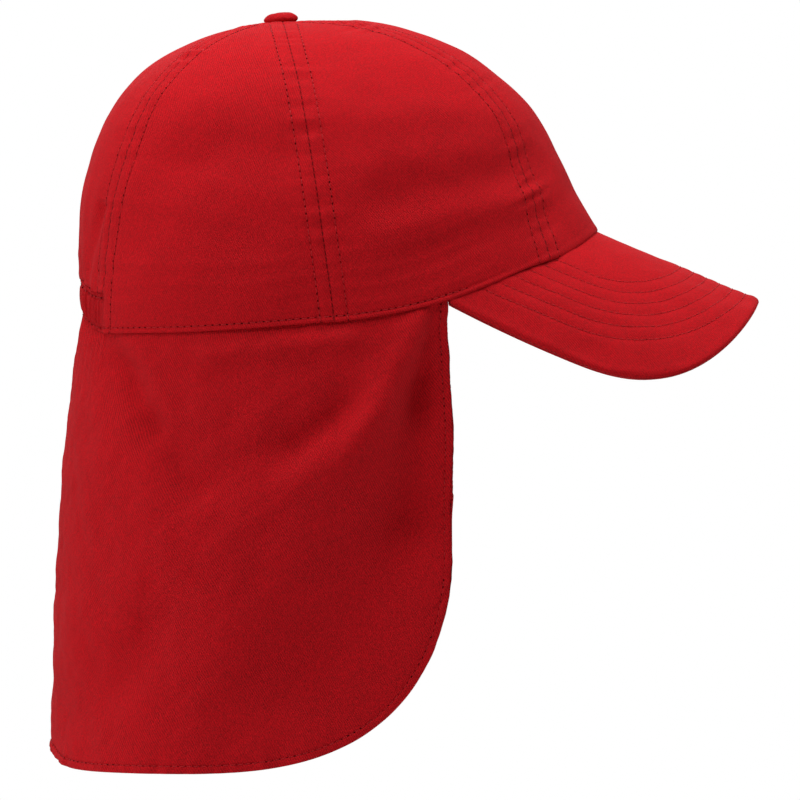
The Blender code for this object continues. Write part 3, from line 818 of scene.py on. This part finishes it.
def panel_grid(start, end, shares):
    """Angles of a panel's grid and how far its points are from a seam, then for each row its
    width and the width of the zone along a seam."""
    across = np.linspace(seam_angle(start, PANEL_WIDEST_AT), seam_angle(end, PANEL_WIDEST_AT), 60)
    widest = run_lengths(crown_point(across, PANEL_WIDEST_AT))[-1]
    columns = 2 * SEAM_COLUMNS + 2 * round((widest - 2.0 * SEAM_ZONE) / PANEL_COLUMN)
    marks = (0, SEAM_COLUMNS, columns - SEAM_COLUMNS, columns)
    steps = np.linspace(0.0, 1.0, 121)
    first, last = seam_angle(start, shares)[:, None], seam_angle(end, shares)[:, None]
    turns = first + (last - first) * steps
    travel = run_lengths(crown_point(turns, shares[:, None]), axis=1)
    width = travel[:, -1]
    zone = np.minimum(SEAM_ZONE, 0.40 * width)
    turns += PANEL_OVERLAP / width[:, None] * (last - first) * (2.0 * steps - 1.0)
    across = np.array([np.interp(np.arange(columns + 1), marks, (0.0, near, wide - near, wide))
                       for near, wide in zip(zone, width)])
    angles = np.array([np.interp(*row) for row in zip(across, travel, turns)])
    return angles, np.minimum(across, width[:, None] - across), width, zone


def make_panel(name, start, end, cloth, seeds, last_share=1.0):
    """Make one panel of the crown and give the paths of the stitches on it."""
    back = last_share < 1.0
    length = crown_length((start.at_rim + end.at_rim) / 2.0)
    shares = np.interp(np.arange(PANEL_ROWS + 1), (0, PANEL_ROWS - RIM_ROWS, PANEL_ROWS),
                       (tip_share(), last_share - RIM_BAND / length, last_share))
    angles, far, width, zone = panel_grid(start, end, shares)
    columns = angles.shape[1] - 1
    turn = from_front(angles)
    on_peak = turn <= PEAK_CORNER
    plain = crown_point(angles, shares[:, None])
    edge = (last_share - shares[:, None]) * length
    if not back:
        plain = hung_over_peak(plain, angles, edge)
    normals = grid_normals(plain)
    travels = [run_lengths(crown_point(seam_angle(seam, shares), shares))[:, None]
               * np.ones_like(far) for seam in (start, end)]
    above_rim = np.linalg.norm(plain - crown_point(angles, 1.0), axis=-1)
    at_start, at_end = (crown_relief(plain, far, travel, above_rim, turn, seed)
                        for travel, seed in zip(travels, seeds))
    place = np.arange(columns + 1)
    to_end = smooth_step((place / columns - 0.35) / 0.3)
    relief = at_start * (1.0 - to_end) + at_end * to_end
    if back:
        relief += back_puckers(angles, shares[:, None])
    thickness = CLOTH * (1.0 + 0.5 * smooth_step(1.0 - edge / 0.004))
    cut = 1.0 - round_edge(edge, 0.0007)
    outer = plain + normals * (relief - cut * 0.0006)[..., None]
    inner = plain + normals * (relief * 0.6 - thickness + cut * 0.0004)[..., None]
    if not back:
        for side in (outer, inner):
            side[..., 2] -= 0.00005 * on_peak * smooth_step(1.0 - edge / 0.003)
        within = np.clip(inner[-1, :, 0], -OPENING_HALF_WIDTH, OPENING_HALF_WIDTH)
        seat = arch_height(within, -inner[-1, :, 1], PEAK_SEAT_GAP) - 0.0001
        inner[-1, :, 2] = np.where(on_peak[-1], seat, outer[-1, :, 2])
    flat = np.stack((run_lengths(plain, 1) - width[:, None] / 2.0, -run_lengths(plain)), -1)
    count = np.where(place <= columns // 2, *travels) / SEAM_PITCH
    dressed(sheet_object(name, outer, inner, flat, cloth, {"seam_far": far, "seam_count": count}),
            "crown_twill", name)
    facing = grid_normals(outer)
    sewn = np.flatnonzero((width > TOPSTITCH_FROM_WIDTH) & (zone >= TOPSTITCH_AT))
    used = slice(sewn[0], PANEL_ROWS - 3)
    beside = TOPSTITCH_AT / (zone / SEAM_COLUMNS)
    paths = [path_on(outer, facing, column, used) for column in (beside, columns - beside)]
    height = PANEL_ROWS - RIM_ROWS * RIM_STITCH_AT / RIM_BAND
    low = int(height)
    sides = np.flatnonzero(turn[low] > PEAK_CORNER - 4.0)
    if not back and len(sides) > 10:
        ring = outer[low, sides] * (1.0 - height + low) + outer[low + 1, sides] * (height - low)
        paths.append((ring + facing[low, sides] * THREAD_LIFT, facing[low, sides]))
    return paths


def back_puckers(angle, share):
    """Puckers of the back panel where the elastic draws its lower end together."""
    above = np.maximum(casing_share() - share, 0.0) * crown_length(180.0)
    seam = seam_angle(BACK_SEAM, share)
    part = (angle - seam) / (360.0 - 2.0 * seam)
    fade = np.sin(math.pi * np.clip(part, 0.0, 1.0)) ** 0.5
    wave = np.cos(2.0 * math.pi * PUCKERS * part)
    fine = np.cos(2.0 * math.pi * GATHERS * part + 2.0 * line_noise(part, 0.2, 31))
    return -(PUCKER_DEPTH * fade * (0.5 - 0.5 * wave) * np.exp(-above / PUCKER_REACH)
             + 0.0005 * fade * (0.5 - 0.5 * fine) * np.exp(-above / 0.006))


def make_crown(cloth, tree):
    """Make the six panels and sew their seams and rim."""
    back_end = casing_share() - SEAM_GAP * 0.3 / crown_length(180.0)
    rows = []
    for name, start, end, *rest in (
            ("panel_front", mirrored(FRONT_SEAM), FRONT_SEAM, (101, 102)),
            ("panel_side_front_left", FRONT_SEAM, SIDE_SEAM, (102, 103)),
            ("panel_side_back_left", SIDE_SEAM, BACK_SEAM, (103, 104)),
            ("panel_side_front_right", mirrored(SIDE_SEAM), mirrored(FRONT_SEAM), (105, 101)),
            ("panel_side_back_right", mirrored(BACK_SEAM), mirrored(SIDE_SEAM), (106, 105)),
            ("panel_back", BACK_SEAM, mirrored(BACK_SEAM, 360.0), (104, 106), back_end)):
        rows += make_panel(name, start, end, cloth, *rest)
    stitch_rows("crown_stitches", rows, tree, "crown_twill", 3)


def make_casing(cloth, tree):
    """Make the gathered casing, pinched by a row of stitches along its top and bottom."""
    start = casing_share()
    rows, columns = 40, GATHERS * 22
    low_row, high_row = 0.13, 0.87
    shares = np.linspace(start, 1.0, rows + 1)
    seam = seam_angle(BACK_SEAM, shares)
    part = np.linspace(0.0, 1.0, columns + 1)
    angles = seam[:, None] + (360.0 - 2.0 * seam)[:, None] * part
    height = ((shares - start) / (1.0 - start))[:, None]
    middle = np.sin(math.pi * height)
    plain = crown_point(angles, shares[:, None])
    normals = grid_normals(plain)
    fade = np.minimum(1.0, GATHERS * np.minimum(part, 1.0 - part))
    drift = 0.9 * line_noise(part, 0.16, 41) + 0.5 * (height - 0.5) * line_noise(part, 0.11, 42)
    strength = 0.72 + 0.22 * line_noise(part, 0.09, 43)
    wave = np.cos(2.0 * math.pi * GATHERS * part + drift)
    ripple = GATHER_DEPTH * fade * strength * (wave - 1.0) / 2.0
    minor = 0.00022 * line_noise(part, 0.022, 44) * middle * fade
    swell = CASING_SWELL * (middle ** 0.7 - 1.0)
    pinch = -0.00055 * (bump(height - low_row, 0.055) + bump(height - high_row, 0.055))
    cut = 1.0 - round_edge(np.minimum(height, 1.0 - height) * CASING_HEIGHT, 0.0008)
    relief = swell + ripple * (0.55 + 0.45 * middle) + minor + pinch
    outer = plain + normals * (relief - cut * 0.0008)[..., None]
    thick = CASING_THICKNESS - 0.0012 * smooth_step((height - 0.78) / 0.15)
    inner = plain + normals * (ripple / 2.0 - thick + cut * 0.0004)[..., None]
    inner[-1, :, 2] = outer[-1, :, 2]
    flat = np.stack((np.broadcast_to(part * 0.15, angles.shape), -run_lengths(plain)), -1)
    dressed(sheet_object("elastic_casing_cloth", outer, inner, flat, cloth),
            "casing_twill", "elastic_casing")
    facing = grid_normals(outer)
    paths = [(outer[row] + facing[row] * THREAD_LIFT, facing[row])
             for row in (round(low_row * rows), round(high_row * rows))]
    stitch_rows("casing_stitches", paths, tree, "casing_twill", 5, STITCH_PITCH * 0.8)


def make_button(cloth):
    """Make the covered button, with the cloth drawn in round its edge."""
    ahead, behind = crown_point(0.0, tip_share()), crown_point(180.0, tip_share())
    tilt = math.atan2(ahead[2] - behind[2], behind[1] - ahead[1])
    turns = np.linspace(0.0, 2.0 * math.pi, 161)
    lean = np.linspace(-0.73, 1.0, 37) * math.pi / 2.0
    dome = BUTTON_HEIGHT - SEAM_GAP
    below = lean < 0.0
    radius = BUTTON_RADIUS * np.abs(np.cos(lean)) ** np.where(below, 0.42, 0.62)
    height = dome * np.where(below, 0.38 * (1.0 - np.sin(lean) / math.sin(lean[0])),
                             0.38 + 0.62 * np.sin(lean))
    gather = 0.018 * np.cos(turns * 13.0 + 1.3 * np.sin(turns * 3.0))[:, None]
    gather = gather * smooth_step((0.75 - lean / (math.pi / 2.0)) / 0.7)
    sideways = radius * (1.0 + gather) * np.cos(turns)[:, None]
    forwards = radius * (1.0 + gather) * np.sin(turns)[:, None]
    upward = np.broadcast_to(height - 0.0003, sideways.shape)
    local = np.stack((sideways, forwards, upward), -1)
    local[..., 2] += 0.00012 * soft_noise(local, 0.004, 61) * smooth_step(lean / 0.4)
    local[:, -1] = local[:, -1].mean(0)
    local = local[:-1]
    turned = np.array(((1.0, 0.0, 0.0), (0.0, math.cos(-tilt), -math.sin(-tilt)),
                       (0.0, math.sin(-tilt), math.cos(-tilt))))
    points = local @ turned.T + np.array((0.0, POLE_SETBACK, CROWN_HEIGHT))
    number = np.arange(local[..., 0].size).reshape(local.shape[:2])
    after = np.roll(number, -1, 0)
    faces = np.stack((number[:, :-1], after[:, :-1], after[:, 1:], number[:, 1:]), -1)
    faces = faces.reshape(-1, 4).tolist() + [number[::-1, 0].tolist()]
    placed = cloth_object("top_button_cloth", points.reshape(-1, 3), faces,
                          local[..., :2].reshape(-1, 2), cloth)
    dressed(placed, "button_twill", "top_button")


# Peak


def peak_point(sideways, ahead, depth):
    """Place points of the flat peak on its arch: lengths along the cloth, depth below it."""
    turn = sideways / OPENING_HALF_WIDTH
    reach = OPENING_HALF_WIDTH - depth
    drop = OPENING_HALF_WIDTH - reach * np.cos(turn)
    forwards = OPENING_FRONT + ahead * math.cos(PEAK_TILT) - drop * math.sin(PEAK_TILT)
    height = PEAK_ROOT_HEIGHT - ahead * math.sin(PEAK_TILT) - drop * math.cos(PEAK_TILT)
    return np.stack((reach * np.sin(turn), -forwards, height), -1)


def peak_root(angle, tuck):
    """Points of the flat peak under the crown's rim, moved inside by the tuck."""
    plan = rim_plan(angle) - rim_outward(angle) * tuck
    turn = np.arcsin(np.clip(plan[..., 0] / OPENING_HALF_WIDTH, -1.0, 1.0))
    drop = OPENING_HALF_WIDTH * (1.0 - np.cos(turn))
    ahead = (plan[..., 1] - OPENING_FRONT + drop * math.sin(PEAK_TILT)) / math.cos(PEAK_TILT)
    return np.stack((OPENING_HALF_WIDTH * turn, ahead), -1)


def peak_outline(share):
    """Outer edge of the flat peak, from one corner, -1, over the front, 0, to the other, 1."""
    side = np.abs(share)
    corner = peak_root(np.array(PEAK_CORNER), 0.0)
    part = (side - 1.0 + PEAK_SIDE_SHARE) / PEAK_SIDE_SHARE
    lean = np.clip(1.0 - side / (1.0 - PEAK_SIDE_SHARE), 0.0, 1.0) * math.pi / 2.0
    reach = ((np.cos(lean) ** PEAK_SQUARENESS + np.sin(lean) ** PEAK_SQUARENESS)
             ** (-1.0 / PEAK_SQUARENESS))
    beside = part > 0.0
    sideways = np.where(beside, PEAK_HALF_WIDTH + (corner[0] - PEAK_HALF_WIDTH) * part * part,
                        PEAK_HALF_WIDTH * reach * np.cos(lean))
    ahead = np.where(beside, PEAK_WIDEST_AT + (corner[1] - PEAK_WIDEST_AT) * part,
                     PEAK_WIDEST_AT + (PEAK_LENGTH - PEAK_WIDEST_AT) * reach * np.sin(lean))
    return np.stack((np.sign(share) * sideways, ahead), -1)


def stitch_row_size(row):
    """Half width and reach of a row of the peak's stitches, counted from the outer one."""
    return (STITCH_ROW_HALF_WIDTH - STITCH_ROW_STEP_SIDE * row,
            STITCH_ROW_REACH - STITCH_ROW_STEP_FRONT * row)


def stitch_row_place(flat):
    """Number of the stitch row through a point of the flat peak, with places between rows."""
    sideways, ahead = np.abs(flat[..., 0]), np.maximum(flat[..., 1], 0.0)
    low = np.full(sideways.shape, -4.0)
    high = np.full(sideways.shape, 11.0)
    for _ in range(26):
        middle = (low + high) / 2.0
        width, reach = stitch_row_size(middle)
        inside = ((sideways / width) ** STITCH_ROW_SQUARENESS
                  + (ahead / reach) ** STITCH_ROW_SQUARENESS) < 1.0
        low = np.where(inside, middle, low)
        high = np.where(inside, high, middle)
    return (low + high) / 2.0


def peak_relief(flat):
    """How the peak's cloth swells between its rows of stitches."""
    row = stitch_row_place(flat)
    step = (STITCH_ROW_STEP_SIDE + STITCH_ROW_STEP_FRONT) / 2.0
    off = (row - np.round(np.clip(row, 0.0, PEAK_ROWS_OF_STITCHES - 1.0))) * step
    dip = bump(off, 0.0010)
    puff = np.clip(np.abs(off) / (step / 2.0), 0.0, 1.0)
    swell = 0.00008 * np.sin(puff * math.pi / 2.0)
    unevenness = 0.00007 * soft_noise(flat, 0.011, 71) + 0.00014 * soft_noise(flat, 0.034, 72)
    return swell - 0.00014 * dip + unevenness


def peak_row(row):
    """Path of a row of stitches, its ends run on under the crown and then cut at the rim."""
    width, reach = stitch_row_size(row)
    lean = np.linspace(0.0, math.pi, 361)
    power = 2.0 / STITCH_ROW_SQUARENESS
    bend = np.stack((width * signed_power(np.cos(lean), power),
                     reach * np.abs(np.sin(lean)) ** power), -1)
    back = np.linspace(-0.045, -0.0005, 60)
    ends = [np.stack((np.full(60, side), run), -1) for side, run in ((width, back),
                                                                     (-width, back[::-1]))]
    path = evenly(np.concatenate((ends[0], bend, ends[1])), 700)
    path = path[keep_outside_crown(path)]
    turn = path[:, 0] / OPENING_HALF_WIDTH
    outward = np.stack((np.sin(turn), -np.cos(turn) * math.sin(PEAK_TILT),
                        np.cos(turn) * math.cos(PEAK_TILT)), -1)
    return peak_point(path[:, 0], path[:, 1], -peak_relief(path) - THREAD_LIFT), outward


def make_peak(cloth, tree):
    """Make the peak with its stitched channels and turned edge, and sew its rows."""
    corner = PEAK_CORNER - 0.20
    half = PEAK_THICKNESS / 2.0
    spokes, rows = PEAK_GRID
    share = np.linspace(-1.0, 1.0, spokes + 1)
    root = peak_root(corner * share, PEAK_TUCK)
    rim = peak_outline(share)
    length = np.linalg.norm(rim - root, axis=-1)
    part = np.linspace(0.0, 1.0, rows + 1)
    crowd = np.interp(part, (0.0, 1.0 - PEAK_EDGE_ROWS / rows, 1.0), (0.0, 0.965, 1.0))
    flat = root + (rim - root) * crowd[:, None, None]
    edge = length * (1.0 - crowd)[:, None]
    shell = round_edge(edge, half, 0.06)
    relief = peak_relief(flat) * smooth_step(edge / 0.004)
    lip = 0.00016 * bump(edge - 0.0024, 0.0016)
    top = peak_point(flat[..., 0], flat[..., 1], half - half * shell - relief - lip)
    below = peak_point(flat[..., 0], flat[..., 1], half + half * shell + relief * 0.7)
    dressed(sheet_object("peak_cloth", top, below, flat, cloth), "peak_twill", "peak")
    paths = [peak_row(row) for row in range(PEAK_ROWS_OF_STITCHES)]
    stitch_rows("peak_stitches", paths, tree, "peak_twill", 7, hole=0.00022)


def keep_outside_crown(flat, clear=0.0022):
    """Tell which points of the flat peak lie ahead of the crown's rim."""
    place = peak_point(flat[:, 0], flat[:, 1], 0.0)
    rim = rim_plan(np.linspace(0.0, PEAK_CORNER, 400))
    return -place[:, 1] > np.interp(np.abs(place[:, 0]), rim[:, 0], rim[:, 1]) + clear


# Neck flap


def flap_start():
    """Angle of the flap's front edge, just behind the peak's corner."""
    step = 0.05
    travelled = np.linalg.norm(rim_plan(PEAK_CORNER + step) - rim_plan(PEAK_CORNER - step))
    return PEAK_CORNER + FLAP_CLEAR_OF_PEAK * 2.0 * step / travelled


def rim_travels(angle):
    """Length of the rim from the flap's front edge to each angle."""
    fine = np.linspace(flap_start(), 180.0, 800)
    return np.interp(from_front(angle), fine, run_lengths(rim_plan(fine)))


def hem_height(angle):
    """Height of the flap's lower edge below a point of the rim, with its round front corner."""
    turn = from_front(angle)
    behind = (rim_plan(np.array(flap_start()))[1] - rim_plan(turn)[..., 1]) / FLAP_CORNER_WIDTH
    left = np.clip(1.0 - np.maximum(behind, 0.0), 0.0, 1.0)
    corner = (1.0 - left ** FLAP_CORNER_SQUARENESS) ** (1.0 / FLAP_CORNER_SQUARENESS)
    from_back = (180.0 - turn) / FLAP_BACK_RISE_SPREAD
    return (FLAP_CORNER_HEIGHT * (1.0 - corner) - FLAP_DROP
            + FLAP_BACK_RISE / (1.0 + from_back * from_back))


def fold_shift(travel, fall):
    """How far the folds push the flap out at lengths along the rim and falls below it."""
    def place(angle, share):
        return np.array((rim_travels(np.array(angle)), share * FLAP_DROP))

    where = np.stack((travel, fall), -1)
    return sum(pushed_out(where, place(*row[:2]), place(*row[2:4]), FOLD_WIDTH * row[4],
                          FOLD_DEPTH * row[5]) for row in FLAP_FOLDS)


def flap_plain(angle, share):
    """Outside of the plain flap at angles and shares down it, and how far each point falls."""
    turn = from_front(angle)
    top = rim_height(turn) - SEAM_GAP
    fall = (top - hem_height(turn)) * share
    part = fall / FLAP_DROP
    behind = np.maximum(-np.cos(np.radians(angle)), 0.0)
    flare = FLAP_SIDE_FLARE + (FLAP_BACK_FLARE - FLAP_SIDE_FLARE) * behind * behind
    spread = flare * (1.0 - np.exp(-FLARE_BEND * part)) / (1.0 - math.exp(-FLARE_BEND))
    out = spread + smooth_step(part / FOLDS_FREE_AT) * fold_shift(rim_travels(turn), fall)
    plan = rim_plan(angle) + rim_outward(angle) * (out - FLAP_INSET)[..., None]
    near_front = smooth_step((FLAP_SWAY_TO - turn) / (FLAP_SWAY_TO - FLAP_SWAY_FROM))
    forwards = plan[..., 1] + FLAP_SWAY * smooth_step(part / FLAP_SWAY_FULL_AT) * near_front
    return np.stack((plan[..., 0], -forwards, top - fall), -1), fall


def flap_relief(plain, angle, fall, travel, rim, far):
    """How far the flap's cloth stands out: slack, gathers, an uneven edge and the turned hem."""
    both_sides = np.abs(plain)
    turn = from_front(angle)
    beside = smooth_step((150.0 - turn) / 30.0) * smooth_step((turn - flap_start()) / 14.0)
    relief = 0.0006 * soft_noise(both_sides, 0.055, 81) * smooth_step(fall / 0.05) * beside
    relief += 0.00022 * soft_noise(both_sides, 0.018, 82) * smooth_step(fall / 0.02)
    relief += 0.00008 * soft_noise(plain, 0.007, 83)
    behind = smooth_step((turn - BACK_SEAM.at_rim + 4.0) / 6.0)
    part = (angle - BACK_SEAM.at_rim) / (360.0 - 2.0 * BACK_SEAM.at_rim)
    gathers = np.cos(2.0 * math.pi * GATHERS * part + 0.9 * line_noise(part, 0.16, 41))
    relief += 0.0007 * behind * gathers * np.exp(-fall / 0.010)
    along = travel + np.where(np.minimum(travel, rim - travel) < 0.03, fall, 0.0)
    wave = line_noise(along, 0.013, 85) + 0.7 * line_noise(along, 0.006, 86)
    relief += 0.00018 * wave * bump(far, 0.0050)
    relief += HEM_RISE * hem_share(far) - 0.00024 * bump(far - HEM_STITCH_AT, 0.0005)
    return relief - 0.0011 * smooth_step(1.0 - fall / 0.0050)


def hem_share(far):
    """Whether a point of the flap is in its turned hem, with a smooth edge."""
    return smooth_step((HEM_STITCH_AT + 0.0002 - far) / 0.0005)


def make_flap(cloth, tree):
    """Make the neck flap: one layer of cloth with a turned hem, tucked in under the crown."""
    start = flap_start()
    columns, rows = FLAP_GRID
    rim = 2.0 * rim_travels(np.array(180.0))
    marks = (0, FLAP_EDGE_COLUMNS, columns - FLAP_EDGE_COLUMNS, columns)
    travel = np.interp(np.arange(columns + 1), marks, (0.0, FLAP_EDGE, rim - FLAP_EDGE, rim))
    fine = np.linspace(start, 360.0 - start, 1600)
    shares = np.interp(np.arange(rows + 1), (0, 8, rows - 14, rows), (0.0, 0.022, 0.962, 1.0))
    angle, share = np.meshgrid(np.interp(travel, run_lengths(rim_plan(fine)), fine), shares)
    plain, fall = flap_plain(angle, share)
    forwards = rim_plan(from_front(angle))[..., 1]
    # creases, and the front lower part turned in towards the neck
    swing = creased(forwards, fall, FLAP_CREASES) * smooth_step(fall / 0.004)
    swing = swing * smooth_step((forwards + 0.098) / 0.026)
    beyond = ((forwards + 0.0136) * 0.822 + (fall - 0.069) * 0.570) / FLAP_SINK_WIDTH
    sink = FLAP_SINK * smooth_step(beyond) * (1.0 - 0.6 * smooth_step((fall - 0.130) / 0.035)
                                             * smooth_step((0.020 - forwards) / 0.040))
    sideways = rim_outward(angle)
    plain[..., 0] += (swing - sink) * sideways[..., 0]
    plain[..., 1] -= (swing - sink * 0.6) * sideways[..., 1]
    normals = grid_normals(plain, FLAP_INSIDE)
    border = evenly(np.concatenate((plain[:, 0], plain[-1], plain[::-1, -1])), 1500)
    far = np.array([np.sqrt(((row[:, None] - border[None]) ** 2).sum(-1).min(1))
                    for row in plain])
    relief = flap_relief(plain, angle, fall, travel, rim, far)
    thickness = CLOTH * 0.8 + HEM_EXTRA * hem_share(far)
    cut = (1.0 - round_edge(far, 0.0007)) * thickness
    outer = plain + normals * (relief - cut * 0.5)[..., None]
    inner = plain + normals * (relief - thickness + cut * 0.4)[..., None]
    for side in (outer, inner):
        side[..., 2] += 0.0024 * smooth_step(1.0 - fall / 0.0040)
    flat = np.stack((np.broadcast_to(travel, far.shape), -fall), -1)
    piece = dressed(sheet_object("neck_flap_cloth", outer, inner, flat, cloth),
                    "flap_twill", "neck_flap")
    path = hem_row(outer, grid_normals(outer, FLAP_INSIDE), far)
    stitches = stitch_rows("flap_stitches", [path], tree, "flap_twill", 9)


def hem_row(outer, facing, far):
    """Path of the hem's stitches, down one front edge, along the bottom and up the other."""
    rows, columns = far.shape

    def crossing(beside, inside):
        """Where the stitches pass between two points of the grid, and which way is out."""
        mix = (HEM_STITCH_AT - far[beside]) / (far[inside] - far[beside])
        return outer[beside] * (1.0 - mix) + outer[inside] * mix, facing[inside]

    def down_front(order, lowest):
        """List the crossings of a front edge that lie above the lowest one."""
        found = []
        for row in range(8, rows):
            inside = np.flatnonzero(far[row, order] >= HEM_STITCH_AT)
            if len(inside) and inside[0] > 0:
                found.append(crossing((row, order[inside[0] - 1]), (row, order[inside[0]])))
        return [pair for pair in found if pair[0][2] > lowest[0][2] + 0.0005]

    bottom = []
    for column in range(columns):
        inside = np.flatnonzero(far[:, column] >= HEM_STITCH_AT)
        if len(inside) and inside[-1] < rows - 1:
            pair = crossing((inside[-1] + 1, column), (inside[-1], column))
            if not bottom or np.linalg.norm(pair[0] - bottom[-1][0]) > 0.0002:
                bottom.append(pair)
    first = down_front(np.arange(columns // 2), bottom[0])
    second = down_front(np.arange(columns - 1, columns // 2, -1), bottom[-1])
    places, outwards = (np.array(part) for part in zip(*first, *bottom, *second[::-1]))
    return places + outwards * THREAD_LIFT, outwards


# Studio


def make_studio():
    """Set the camera, the floor, the pale surroundings and the soft lights."""
    scene = bpy.context.scene
    camera = in_scene("camera", bpy.data.cameras.new("camera"))
    camera.data.sensor_width = SENSOR
    camera.data.lens = SENSOR / VIEW_WIDTH * VIEW_DISTANCE
    camera.data.clip_end = CLEAR_TO
    camera.location = (-VIEW_DISTANCE, VIEW_MIDDLE[0], VIEW_MIDDLE[1])
    camera.rotation_euler = (math.radians(90.0), 0.0, math.radians(-90.0))
    scene.camera = camera
    turns = np.linspace(0.0, 2.0 * math.pi, 97)[:-1]
    ring = [(FLOOR_RADIUS * math.cos(turn), FLOOR_RADIUS * math.sin(turn), FLOOR_HEIGHT)
            for turn in turns]
    floor = bpy.data.meshes.new("floor")
    floor.from_pydata(ring, [], [list(range(len(ring)))])
    shading = Shading("floor")
    seen = shading.node("ShaderNodeLightPath").outputs["Is Camera Ray"]
    floor.materials.append(shading.finish(Base_Color=(0.86, 0.86, 0.86, 1.0), Roughness=0.8,
                                          Emission_Color=seen, Emission_Strength=FLOOR_GLOW))
    in_scene("floor", floor)
    scene.world = bpy.data.worlds.new("pale_room")
    scene.world.use_nodes = True
    room = Nodes(scene.world.node_tree)
    seen = room.node("ShaderNodeLightPath").outputs["Is Camera Ray"]
    strength = room.node("ShaderNodeMapRange", Value=seen, To_Min=ROOM_GLOW, To_Max=1.0)
    background = room.tree.nodes["Background"]
    room.feed(background.inputs["Color"], (1.0, 1.0, 1.0, 1.0))
    room.feed(background.inputs["Strength"], strength.outputs[0])
    for name, place, size, watts in LIGHTS:
        light = bpy.data.lights.new(name, "AREA")
        light.shape, light.size, light.energy = "DISK", size, watts
        lamp = in_scene(name, light)
        lamp.location = place
        lamp.rotation_euler = (-Vector(place)).to_track_quat("-Z", "Y").to_euler()
    scene.view_settings.view_transform = "Standard"
    scene.view_settings.look = "None"


def main():
    """Load the cap, set up the studio and dress the cap."""
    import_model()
    make_studio()
    # the needle holes are flat discs of painted shade
    tree = stitch_tree(thread_material("thread", 0.47), hole_shade_material("needle_hole_shade"))
    make_crown(cloth_material("crown_twill_cloth", 0.66, 0.30, 1.0, seams=True), tree)
    make_casing(cloth_material("casing_twill_cloth", 0.58, 0.27, 1.0), tree)
    make_button(cloth_material("button_twill_cloth", 0.58, 0.34, 0.8))
    make_peak(cloth_material("peak_twill_cloth", 0.66, 0.32, 0.8), tree)
    make_flap(cloth_material("flap_twill_cloth", 0.62, 0.25, 1.3), tree)


main()
